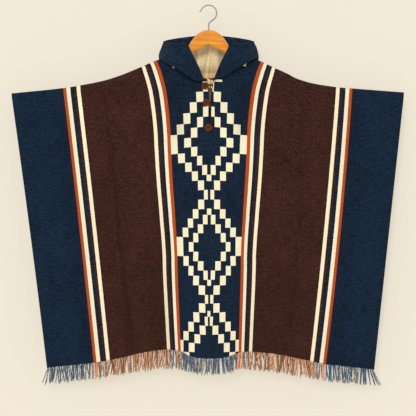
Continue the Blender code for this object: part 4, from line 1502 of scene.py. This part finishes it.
# Which yarns each stripe's strands are twisted from.
STRAND_YARNS = {
    "navy": (("blue", "blue"),) * 6 + (("blue", "pale"),) * 3 + (("pale", "pale"),),
    "deep_navy": (("blue", "blue"),) * 4 + (("blue", "pale"),) * 3 + (("pale", "pale"),) * 2,
    "brown": (("tan", "rust"), ("sand", "tan"), ("tan", "tan"), ("rust", "rust")),
    "cream": (("sand", "tan"), ("sand", "pale"), ("tan", "rust")),
    "orange": (("orange", "orange"),),
}
BACK_ODD_YARNS = (("blue", "blue"), ("blue", "pale"), ("tan", "rust"))
BACK_ODD = (-330.0, -235.0)  # behind here a few blue ends hang lower
BACK_ODD_LONGER = 6.0
BACK_ODD_SHARE = 0.5
FRINGE_SEED = 11
LEAN_SIDES_APART = 7  # the back's strands lean otherwise than the front's


def stripe_at(across):
    """The dye of the stripe at this place."""
    return [stripe.dye for stripe in STRIPES if stripe.start <= abs(across)][-1]


def fringe_length(across):
    """How long the fringe hangs at this place."""
    places = [row.across for row in FRINGE_LENGTHS]
    return through(places, [row.length for row in FRINGE_LENGTHS], across)


def strand_line(side, across, tip_shift, length, chance):
    """The path of one strand of the fringe, from inside the hem to its tip."""
    full = cloth_length(across)
    root = cloth_point(side, across, full)
    root.y += side * crease_relief(side, across, full)
    patch = noise.noise(Vector((across / LEAN_PATCH, LEAN_SIDES_APART * side, 0)))
    corner = max(0.0, 1 - (HALF_WIDTH - abs(across)) / CORNER_WIDTH)
    lean = LEAN * patch + LEAN_CHANGE * chance.uniform(-1, 1)
    lean += math.copysign(CORNER_LEAN, across) * corner**1.5
    drift = length * math.tan(math.radians(lean)) + tip_shift
    out = side * chance.uniform(*STRAND_OUT)
    bow = chance.uniform(-STRAND_BOW, STRAND_BOW)
    points = []
    for k in range(STRAND_STEPS + 1):
        share = k / STRAND_STEPS
        swing = share**1.3 * drift + bow * math.sin(math.pi * share)
        fall = STRAND_IN_CLOTH - share * (length + STRAND_IN_CLOTH)
        points.append(root + Vector((swing, out * share**1.5, fall)))
    return points


def fringe(side, name, node):
    """The twisted warp ends that hang from one hem."""
    chance = random.Random(FRINGE_SEED + side)
    count = STRANDS[side]
    gap = 2 * HALF_WIDTH / count
    places = []
    for k in range(count):
        stray = chance.uniform(-STRAND_STRAY, STRAND_STRAY)
        places.append(-HALF_WIDTH + gap * (k + 0.5 + stray))
    strands = []
    taken = 0
    while taken < count:
        bunch = places[taken : taken + chance.choice(BUNCHES)]
        middle = sum(bunch) / len(bunch)
        for across in bunch:
            pull = (middle - across) * CLUMPING * chance.uniform(*CLUMPING_CHANGE)
            length = fringe_length(across) + chance.uniform(*STRAND_LENGTH_CHANGE)
            mixing = chance.uniform(-STRIPE_MIXING, STRIPE_MIXING)
            choices = STRAND_YARNS[stripe_at(across + mixing)]
            odd = BACK_ODD[0] < across < BACK_ODD[1] and chance.random() < BACK_ODD_SHARE
            if side == BACK and odd:
                choices = BACK_ODD_YARNS
                length += BACK_ODD_LONGER
            path = strand_line(side, across, pull, length, chance)
            start = chance.uniform(0, 2 * math.pi)
            lines = twisted(path, PLY_SPREAD, TWIST_PITCH, start, loosen=PLY_LOOSENING)
            steps = len(path) - 1
            for line, dye in zip(lines, chance.choice(choices)):
                radii = [1.0 - TIP_THINNING * (k / steps) ** 3 for k in range(steps + 1)]
                strands.append(Strand(line, radii, YARN_ORDER.index(dye)))
        taken += len(bunch)
    finishes = [FRINGE_YARNS[dye] for dye in YARN_ORDER]
    mesh = cord_mesh(name, strands, PLY_RADIUS, finishes)
    return add_piece(name, mesh, (), (node,))


strands_front = fringe(FRONT, "fringe_strands_front", "fringe_front")
strands_back = fringe(BACK, "fringe_strands_back", "fringe_back")


# ---------------------------------------------------------------- the slit's backing
UNDERLAP_WALL = 1.2
UNDERLAP_LEFT, UNDERLAP_RIGHT = -16.0, 20.0
UNDERLAP_TOP, UNDERLAP_BOTTOM = 76.0, 230.0
UNDERLAP_NOTCH = 4.0  # its top edge is lower on the right
NOTCH_PLACE, NOTCH_WIDTH, NOTCH_FADE = 1, 3, 12
UNDERLAP_STEPS = (2.0, 3.0)  # between its columns and between its rows
UNDERLAP_PUCKER = 0.25
PUCKER_RATES = (0.2, 0.34)  # across and down


def slit_backing():
    """The strip of cloth behind the slit, folded over along its middle."""
    inset = CLOTH_WALL / 2 + SEAM_GAP + UNDERLAP_WALL / 2
    columns = even_steps(UNDERLAP_LEFT, UNDERLAP_RIGHT, UNDERLAP_STEPS[0])
    rows = even_steps(UNDERLAP_TOP, UNDERLAP_BOTTOM, UNDERLAP_STEPS[1])

    def place(x, down):
        beside = ease((x - NOTCH_PLACE) / NOTCH_WIDTH)
        down += UNDERLAP_NOTCH * beside * (1 - ease((down - UNDERLAP_TOP) / NOTCH_FADE))
        behind = cloth_point(FRONT, 0, down, 1)
        pucker = UNDERLAP_PUCKER * math.sin(down * PUCKER_RATES[1] + x * PUCKER_RATES[0])
        return Vector((x, behind.y + inset + UNDERLAP_PUCKER + pucker, behind.z))

    def cloth_map(x, down, point):
        return x / 1000, down / 1000

    sheet = grid_sheet(columns, rows, place, (("cloth", cloth_map),))
    node, slot = "slit_underlap", "cream_lining"
    return cloth_piece("slit_backing", sheet, slit_twill, node, UNDERLAP_WALL)


backing = slit_backing()


# ---------------------------------------------------------------- buttons and their loops
Button = namedtuple("Button", "x down")
BUTTONS = (Button(-11.0, 97), Button(-7.0, 145.5), Button(-1.0, 219))
BUTTON_RADIUS = 11.0
SHANK_RADIUS = 2.5
BUTTON_SIDES = 40
BUTTON_PROFILE = (  # radius and height, from the foot of the shank round to the dished face
    (0, 0),
    (2.5, 0),
    (2.2, 1.2),
    (2.6, 2.4),
    (4.0, 2.7),
    (9.6, 2.8),
    (10.6, 3.4),
    (11.0, 4.4),
    (10.9, 5.4),
    (10.3, 6.2),
    (9.4, 6.6),
    (8.6, 6.4),
    (7.7, 5.8),
    (6.8, 5.45),
    (5.0, 5.3),
    (3.6, 5.3),
    (1.8, 5.4),
    (0, 5.45),
)
HOLE_RING = (1.8, 3.6)  # the holes lie between these radii
HOLE_DEPTH = 2.0
HOLE_TURNS = (45, 135, 225, 315)
HOLE_HALF_TURN = 19
FACE_HEIGHT = 5  # the dished face lies above this
THREAD_RADIUS = 0.42
THREAD_LANES = (-0.45, 0.45)  # two threads side by side through each pair of holes
THREAD_HEIGHT, THREAD_ABOVE = 5.75, 0.3  # the first pair's lie on the second's
THREAD_SINKS = 1.9  # into the holes
THREAD_STEPS = 8


def heading_of(degrees):
    """The direction at this turn round a button's axis."""
    turn = math.radians(degrees)
    return Vector((math.cos(turn), math.sin(turn), 0))


def button_seat(button):
    """Where a button's shank meets the cloth, and the direction it faces."""
    cloth = cloth_point(FRONT, -BUTTON_RADIUS, button.down, -1)
    facing = cloth_normal(FRONT, -BUTTON_RADIUS, button.down, -1)
    foot = Vector((button.x, cloth.y, cloth.z))
    return foot + facing * (CLOTH_WALL / 2 + SEAM_GAP), facing


def button_form():
    """A turned button with four holes, its shank down and its dished face up."""
    bm = bmesh.new()
    face_map = bm.loops.layers.uv.new("face")
    verts = [bm.verts.new(metres((r, 0, z))) for r, z in BUTTON_PROFILE]
    edges = [bm.edges.new(pair) for pair in zip(verts, verts[1:])]
    bmesh.ops.spin(
        bm,
        geom=verts + edges,
        axis=(0, 0, 1),
        cent=(0, 0, 0),
        angle=2 * math.pi,
        steps=BUTTON_SIDES,
        use_merge=True,
    )
    bmesh.ops.remove_doubles(bm, verts=bm.verts, dist=MERGE_DISTANCE)
    bmesh.ops.recalc_face_normals(bm, faces=bm.faces)
    for turn in HOLE_TURNS:
        heading = heading_of(turn)
        hole = []
        for face in bm.faces:
            middle = face.calc_center_median() * 1000
            flat = Vector((middle.x, middle.y, 0))
            near = HOLE_RING[0] < flat.length < HOLE_RING[1] and middle.z > FACE_HEIGHT
            if near and flat.normalized().dot(heading) > math.cos(math.radians(HOLE_HALF_TURN)):
                hole.append(face)
        pushed = bmesh.ops.extrude_face_region(bm, geom=hole)["geom"]
        moved = [item for item in pushed if isinstance(item, bmesh.types.BMVert)]
        bmesh.ops.translate(bm, verts=moved, vec=metres((0, 0, -HOLE_DEPTH)))
        bmesh.ops.delete(bm, geom=hole, context="FACES")
    for face in bm.faces:
        for loop in face.loops:
            loop[face_map].uv = loop.vert.co.xy
    return bm


def placed(bm, foot, facing):
    """Turns a bmesh that stands on the XY plane to face this way, and moves it to its foot."""
    turned_by = facing.to_track_quat("Z", "Y").to_matrix()
    bmesh.ops.rotate(bm, verts=bm.verts, cent=(0, 0, 0), matrix=turned_by)
    bmesh.ops.translate(bm, verts=bm.verts, vec=metres(foot))
    return bm


def button_thread(foot, facing):
    """The sewing thread that crosses between the button's holes."""
    turned_by = facing.to_track_quat("Z", "Y").to_matrix()
    reach = sum(HOLE_RING) / 2
    strands = []
    for turn, above in zip(HOLE_TURNS, (THREAD_ABOVE, 0.0)):
        for lane in THREAD_LANES:
            heading = heading_of(turn)
            beside = Vector((-heading.y, heading.x, 0)) * lane
            path = []
            for k in range(THREAD_STEPS + 1):
                along = -1 + 2 * k / THREAD_STEPS
                height = THREAD_HEIGHT + above - THREAD_SINKS * abs(along) ** 5
                path.append(heading * (along * reach) + beside + Vector((0, 0, height)))
            points = [foot + turned_by @ point for point in path]
            strands.append(Strand(points, [1.0] * len(points), 0))
    return cord_mesh("button_thread", strands, THREAD_RADIUS, [sewing_thread])


def buttons():
    """The three buttons on the left edge of the slit, each with its thread."""
    for number, button in enumerate(BUTTONS, 1):
        foot, facing = button_seat(button)
        form = placed(button_form(), foot, facing)
        mesh = mesh_from(f"turned_button_{number}", form)
        node = f"button_{number}"
        add_piece(f"turned_button_{number}", mesh, [turned], (node,))
        thread = button_thread(foot, facing)
        add_piece(f"button_thread_{number}", thread, (), ())


CORD_RADIUS = 1.3
CORD_PLY_RADIUS, CORD_PLY_SPREAD, CORD_PITCH = 0.78, 0.68, 5.0
LOOP_END_INSET, LOOP_ENDS_APART = 2.0, 2.8
LOOP_PINCHED_AT, LOOP_PINCHED_SHARE = 9.0, 0.8  # from its button, or this share of a short run
LOOP_RISES = (3.0, 0.0, 0.0)  # the first loop comes from a little higher
LOOP_TURNS = range(60, 301, 30)  # round the shank
CORD_STEPS = 44
TWIST_START = 0.4  # each loop's plies start this much further round than the last one's
TAIL_LANES = (-0.9, 0.9)  # the two sides of the doubled end
TAIL_STEP = 1.5
TAIL_WANDER, TAIL_WANDER_RATE = 0.5, 5
TAIL_PROUD = 1.3  # how far its middle lies in front of the backing
KNOT_STEPS = 60
KNOT_SIZE, KNOT_BULGE, KNOT_DEPTH = 0.62, 0.45, 0.8  # shares of the size its loop gives
KNOT_THICKNESS = 2.2
KNOT_LAYERS = (1.0, 0.45)  # the inner one fills the knot's middle
# A loop's spare end, from its start to its end in the slit, and the size of its knot.
CordTail = namedtuple("CordTail", "loop x z end_x end_z proud thickness finish knot")
CORD_TAILS = (
    CordTail(1, 5.5, -237.0, 4.2, -247.5, 1.0, 0.35, 1, 4.3),
    CordTail(2, 4.2, -295.0, 3.9, -306.0, 0.8, 1.0, 1, 0.0),
    CordTail(3, 3.9, -331.0, 3.8, -348.0, 0.8, 1.0, 0, 0.0),
)
CORD_FINISHES = (cord_dark, cord_brown)


def slit_front(x, z, proud):
    """A point this far in front of the slit's backing."""
    down = -z + warp_value("shoulder_z", 0)
    inset = CLOTH_WALL / 2 + SEAM_GAP
    return Vector((x, cloth_point(FRONT, 0, down, 1).y + inset - proud, z))


def tail_strands(tail):
    """The spare end of a loop's cord, doubled, which lies in the slit."""
    strands = []
    steps = round((tail.z - tail.end_z) / TAIL_STEP)
    for lane in TAIL_LANES:
        path = []
        for k in range(steps + 1):
            share = k / steps
            wander = TAIL_WANDER * math.sin(TAIL_WANDER_RATE * share + lane)
            x = tail.x + (tail.end_x - tail.x) * share + wander
            z = tail.z + (tail.end_z - tail.z) * share
            proud = TAIL_PROUD + tail.proud * math.sin(math.pi * share)
            path.append(slit_front(x + lane, z, proud))
        for line in twisted(path, CORD_PLY_SPREAD, CORD_PITCH, lane):
            strands.append(Strand(line, [tail.thickness] * len(line), tail.finish))
    return strands


def knot_strands(tail):
    """The overhand knot that ends a loop's cord."""
    middle = slit_front(tail.end_x, tail.end_z - tail.knot, 1.0 + tail.knot * KNOT_DEPTH)
    turns = []
    for k in range(KNOT_STEPS + 1):
        turn = 2 * math.pi * k / KNOT_STEPS
        ring = 1 + KNOT_BULGE * math.cos(3 * turn)
        out = -KNOT_DEPTH * math.sin(3 * turn)
        place = Vector((math.cos(2 * turn) * ring, out, math.sin(2 * turn) * ring))
        turns.append(middle + tail.knot * KNOT_SIZE * place)
    strands = []
    for share in KNOT_LAYERS:
        line = [middle + (point - middle) * share for point in turns]
        strands.append(Strand(line, [KNOT_THICKNESS] * len(line), tail.finish))
    return strands


def button_cords():
    """A twisted cord loop from the slit's right edge round each button's shank."""
    bend = SHANK_RADIUS + SEAM_GAP + CORD_RADIUS
    for number, (button, rise) in enumerate(zip(BUTTONS, LOOP_RISES), 1):
        foot, facing = button_seat(button)
        right = cloth_point(FRONT, 0, button.down, 1).x + LOOP_END_INSET
        height = foot + facing * (CORD_RADIUS + SEAM_GAP / 2)
        run = right - foot.x
        runs = (run, min(LOOP_PINCHED_AT, LOOP_PINCHED_SHARE * run))
        path = [Vector((x, 0, rise + LOOP_ENDS_APART / 2)) for x in runs]
        for turn in map(math.radians, LOOP_TURNS):
            path.append(bend * Vector((math.cos(turn), 0, math.sin(turn))))
        path += [Vector((x, 0, rise - LOOP_ENDS_APART / 2)) for x in reversed(runs)]
        route = smooth_path([height + place for place in path], CORD_STEPS)
        strands = []
        for line in twisted(route, CORD_PLY_SPREAD, CORD_PITCH, TWIST_START * number):
            strands.append(Strand(line, [1.0] * len(line), 0))
        for tail in CORD_TAILS:
            if tail.loop == number:
                strands += tail_strands(tail)
                if tail.knot:
                    strands += knot_strands(tail)
        mesh = cord_mesh(f"loop_cord_{number}", strands, CORD_PLY_RADIUS, CORD_FINISHES)
        add_piece(f"loop_cord_{number}", mesh, (), (f"button_loop_{number}",))


buttons()
button_cords()


# ---------------------------------------------------------------- the hanger
WOOD_THICKNESS = 12.0
WOOD_TIP = 250.0  # half its length
WOOD_ROUNDING, ROUNDING_SEGMENTS = 2.2, 3
ROUNDED_ANGLE, SHARP_ANGLE = 60, 50  # edges turned further are rounded, or shaded as sharp
WOOD_COLUMN_WIDTH = 3.0
WOOD_ROW_SHARE = 0.25
TIP_TURNS = range(15, 91, 15)
ARM_HEIGHT = 23.0
TIP_RADIUS = 8.0
WOOD_SEAT = 5.1  # how far below the middle of the cloth's wall its top edge lies
CrownPoint = namedtuple("CrownPoint", "x top bottom")
CROWN = (
    CrownPoint(0, -73, -115),
    CrownPoint(18, -76.4, -124),
    CrownPoint(34, -86.0, -132),
    CrownPoint(46, -98.0, -138.5),
    CrownPoint(55, -111, -144),
    CrownPoint(63, -124.5, -149.5),
    CrownPoint(75, -141, -158.5),
    CrownPoint(86, -153.5, -168),
    CrownPoint(95, -160, -176),
)
CROWN_BLEND = 60.0
WIRE_RADIUS = 1.75
HOOK_RADIUS = 24.0
HOOK_START, HOOK_END, HOOK_STEP = 158.0, -38.0, -5.0  # turns round the ring's middle
HOOK_TIP = (-27.5, 0, -18.0)
BEND_REACH = 1.35
BEND_STEPS = 16
WIRE_SIDES = 14
RING_SHARE, STEM_SHARE = 1.1, 1.25  # of the wire's radius, which is less inside the wood
STEM_HEIGHT = 14.0
SOCKET_DEPTH = 18.0
SOCKET_GAP = 0.3
SOCKET_SIDES = 24


def shoulder_height(x):
    """The lower of the two shoulders of the cloth, this far from the middle."""
    heights = []
    for hand in (-1, 1):
        lines = [line for line in WARP_LINES if line.across * hand >= MIDDLE_HALF_WIDTH]
        lines.sort(key=lambda line: abs(line.shoulder_x))
        places = [abs(line.shoulder_x) for line in lines]
        heights.append(through(places, [line.shoulder_z for line in lines], x))
    return min(heights)


def wood_edges(x):
    """The top and bottom of the hanger's wood at this distance from the middle."""
    crown_x = [point.x for point in CROWN]
    if x <= CROWN[-1].x:
        top = through(crown_x, [point.top for point in CROWN], x)
        bottom = through(crown_x, [point.bottom for point in CROWN], x)
        return top, bottom
    outward = ease((x - CROWN[-1].x) / CROWN_BLEND)
    dip = shoulder_height(CROWN[-1].x) - WOOD_SEAT - CROWN[-1].top
    top = shoulder_height(x) - WOOD_SEAT - dip * (1 - outward)
    crown_height = CROWN[-1].top - CROWN[-1].bottom
    bottom = top - crown_height * (1 - outward) - ARM_HEIGHT * outward
    end = max(0.0, (x - (WOOD_TIP - TIP_RADIUS)) / TIP_RADIUS)
    pinch = TIP_RADIUS * (1 - math.sqrt(max(0.0, 1 - end * end)))
    return top - pinch, bottom + pinch


def hanger_body():
    """The flat wooden body with rounded edges, and the socket for its hook."""
    arm = even_steps(0, WOOD_TIP - TIP_RADIUS, WOOD_COLUMN_WIDTH)
    tip = [WOOD_TIP - TIP_RADIUS * (1 - math.sin(math.radians(turn))) for turn in TIP_TURNS]
    half = arm + tip
    columns = [-x for x in reversed(half[1:])] + half

    def place(x, row):
        top, bottom = wood_edges(abs(x))
        return Vector((x, 0, top + (bottom - top) * row))

    sheet = grid_sheet(columns, even_steps(0, 1, WOOD_ROW_SHARE), place)
    bmesh.ops.recalc_face_normals(sheet, faces=sheet.faces)
    blank = bpy.data.objects.new("hanger_blank", mesh_from("hanger_blank", sheet))
    give_wall(blank, WOOD_THICKNESS)
    bevel = blank.modifiers.new("rounding", "BEVEL")
    bevel.width = metres(WOOD_ROUNDING)
    bevel.segments = ROUNDING_SEGMENTS
    bevel.limit_method = "ANGLE"
    bevel.angle_limit = math.radians(ROUNDED_ANGLE)
    drill = bmesh.new()
    bmesh.ops.create_cone(
        drill,
        cap_ends=True,
        segments=SOCKET_SIDES,
        radius1=metres(WIRE_RADIUS + SOCKET_GAP),
        radius2=metres(WIRE_RADIUS + SOCKET_GAP),
        depth=metres(2 * SOCKET_DEPTH),
    )
    bmesh.ops.translate(drill, verts=drill.verts, vec=metres((0, 0, CROWN[0].top)))
    bit = bpy.data.objects.new("drill", mesh_from("drill", drill, smooth=False))
    bpy.context.scene.collection.objects.link(bit)
    cut = blank.modifiers.new("socket", "BOOLEAN")
    cut.operation = "DIFFERENCE"
    cut.object = bit
    mesh = as_mesh("hanger_body", blank)
    bpy.data.objects.remove(bit)
    mesh.shade_smooth()
    mesh.set_sharp_from_angle(angle=math.radians(SHARP_ANGLE))
    return add_piece("hanger_body", mesh, [varnished], ("hanger_wood",))


def hook_wire():
    """The wire hook: an open ring over a short straight stem."""
    centre = Vector((0, 0, WIRE_RADIUS - HOOK_RADIUS))

    def on_ring(turn):
        heading = math.radians(turn)
        return Vector((math.cos(heading), 0, math.sin(heading)))

    turns = even_steps(HOOK_START, HOOK_END, HOOK_STEP)
    ring = [centre + HOOK_RADIUS * on_ring(turn) for turn in turns]
    stem_top = Vector((0, 0, CROWN[0].top + STEM_HEIGHT))
    reach = (ring[-1] - stem_top).length * BEND_REACH
    leaving = on_ring(HOOK_END - 90) * reach
    arriving = Vector((0, 0, -reach))
    bend = []
    for k in range(1, BEND_STEPS + 1):
        bend.append(hermite(ring[-1], stem_top, leaving, arriving, 1, k / BEND_STEPS))
    foot = Vector((0, 0, CROWN[0].top - SOCKET_DEPTH + SOCKET_GAP))
    path = [Vector(HOOK_TIP), *ring, *bend, foot]
    radii = [RING_SHARE] * (len(ring) + 1) + [STEM_SHARE] * len(bend) + [1.0]
    strand = Strand(path, radii, 0)
    mesh = cord_mesh("hook_wire", [strand], WIRE_RADIUS, [plated], WIRE_SIDES)
    return add_piece("hook_wire", mesh, (), ("hanger_hook",))


hanger_body()
hook_wire()


def body_cut(side):
    """The flat width and length of a body half, and its area without the neck hole."""
    step = COLUMN_WIDTH
    across = even_steps(-HALF_WIDTH, HALF_WIDTH, step)
    strips = [(cloth_length(x) - neck_edge(side, x)) * step for x in across]
    return metres(2 * HALF_WIDTH), metres(cloth_length(0)), sum(strips) * 1e-6


def state_sheets():
    """Works out what each body half and the slit's strip measured before they were sewn and hung,
    and keeps none of it.
    """
    for side, piece, ends in (
        (FRONT, cloth_front, strands_front),
        (BACK, cloth_back, strands_back),
    ):
        width, length, area = body_cut(side)
    strip = metres((UNDERLAP_RIGHT - UNDERLAP_LEFT, UNDERLAP_BOTTOM - UNDERLAP_TOP, 0))


# ---------------------------------------------------------------- the room, lights and camera
WALL_BEHIND = 86.0  # just behind the hood
FLOOR_LEVEL = -1480.0
ROOM_HALF_WIDTH = 6000.0
BACKDROP = (0.872, 0.807, 0.686, 1.0)
LIT_SHARE, GLOW = 0.34, 0.66  # it glows a little, so that its shadows stay faint
SKY_STRENGTH = 0.64
SKY_COLOUR = (1.0, 0.985, 0.96, 1.0)
KEY_STRENGTH, KEY_COLOUR = 1.42, (1.0, 0.99, 0.97)
KEY_SOFTNESS = 14.0  # degrees that it spans
KEY_HEIGHT, KEY_TURN = 14.0, -7.0  # degrees above the level, and to the left
CAMERA_PLACE = (-2.1, -6934.0, -606.9)
LENS, SENSOR = 200.0, 36.0


def stage_plane(name, finish, place, turn=0.0):
    """A wide plane of the room, turned this far about X."""
    plane = bmesh.new()
    bmesh.ops.create_grid(plane, x_segments=1, y_segments=1, size=metres(ROOM_HALF_WIDTH))
    mesh = mesh_from(name, plane, smooth=False)
    mesh.materials.append(finish)
    thing = bpy.data.objects.new(name, mesh)
    thing.rotation_euler = (turn, 0, 0)
    thing.location = metres(place)
    bpy.context.scene.collection.objects.link(thing)


def backdrop():
    """A plain wall that is seen from the front only, and a plain floor."""
    lit = (*[share * LIT_SHARE for share in BACKDROP[:3]], 1.0)
    glow = {"Emission_Color": BACKDROP, "Emission_Strength": GLOW}
    made, tree, shader = new_material(
        "backdrop", 1.0, Base_Color=lit, Specular_IOR_Level=0.0, **glow
    )
    clear = add_node(tree, "BsdfTransparent")
    facing = add_node(tree, "NewGeometry")
    either = add_node(tree, "MixShader")
    feed(either.inputs[0], facing.outputs["Backfacing"])
    feed(either.inputs[1], shader.outputs[0])
    feed(either.inputs[2], clear.outputs[0])
    feed(tree.nodes["Material Output"].inputs[0], either.outputs[0])
    floor_made, _, _ = new_material("floor", 1.0, Base_Color=BACKDROP)
    stage_plane("wall", made, (0, WALL_BEHIND, 0), math.pi / 2)
    stage_plane("floor", floor_made, (0, 0, FLOOR_LEVEL))


def lights():
    """Even light from all round, and a soft key from above the front."""
    world = bpy.data.worlds.new("room")
    world.use_nodes = True
    sky = world.node_tree.nodes["Background"]
    sky.inputs["Color"].default_value = SKY_COLOUR
    sky.inputs["Strength"].default_value = SKY_STRENGTH
    bpy.context.scene.world = world
    lamp = bpy.data.lights.new("key", "SUN")
    lamp.energy = KEY_STRENGTH
    lamp.angle = math.radians(KEY_SOFTNESS)
    lamp.color = KEY_COLOUR
    key = bpy.data.objects.new("key", lamp)
    key.rotation_euler = (math.radians(90 - KEY_HEIGHT), 0, math.radians(KEY_TURN))
    bpy.context.scene.collection.objects.link(key)


def camera():
    """A long lens straight in front."""
    lens = bpy.data.cameras.new("camera")
    lens.lens, lens.sensor_width = LENS, SENSOR
    eye = bpy.data.objects.new("camera", lens)
    eye.location = metres(CAMERA_PLACE)
    eye.rotation_euler = (math.pi / 2, 0, 0)
    bpy.context.scene.collection.objects.link(eye)
    bpy.context.scene.camera = eye


state_sheets()
backdrop()
lights()
camera()
bpy.context.scene.view_settings.view_transform = "Standard"
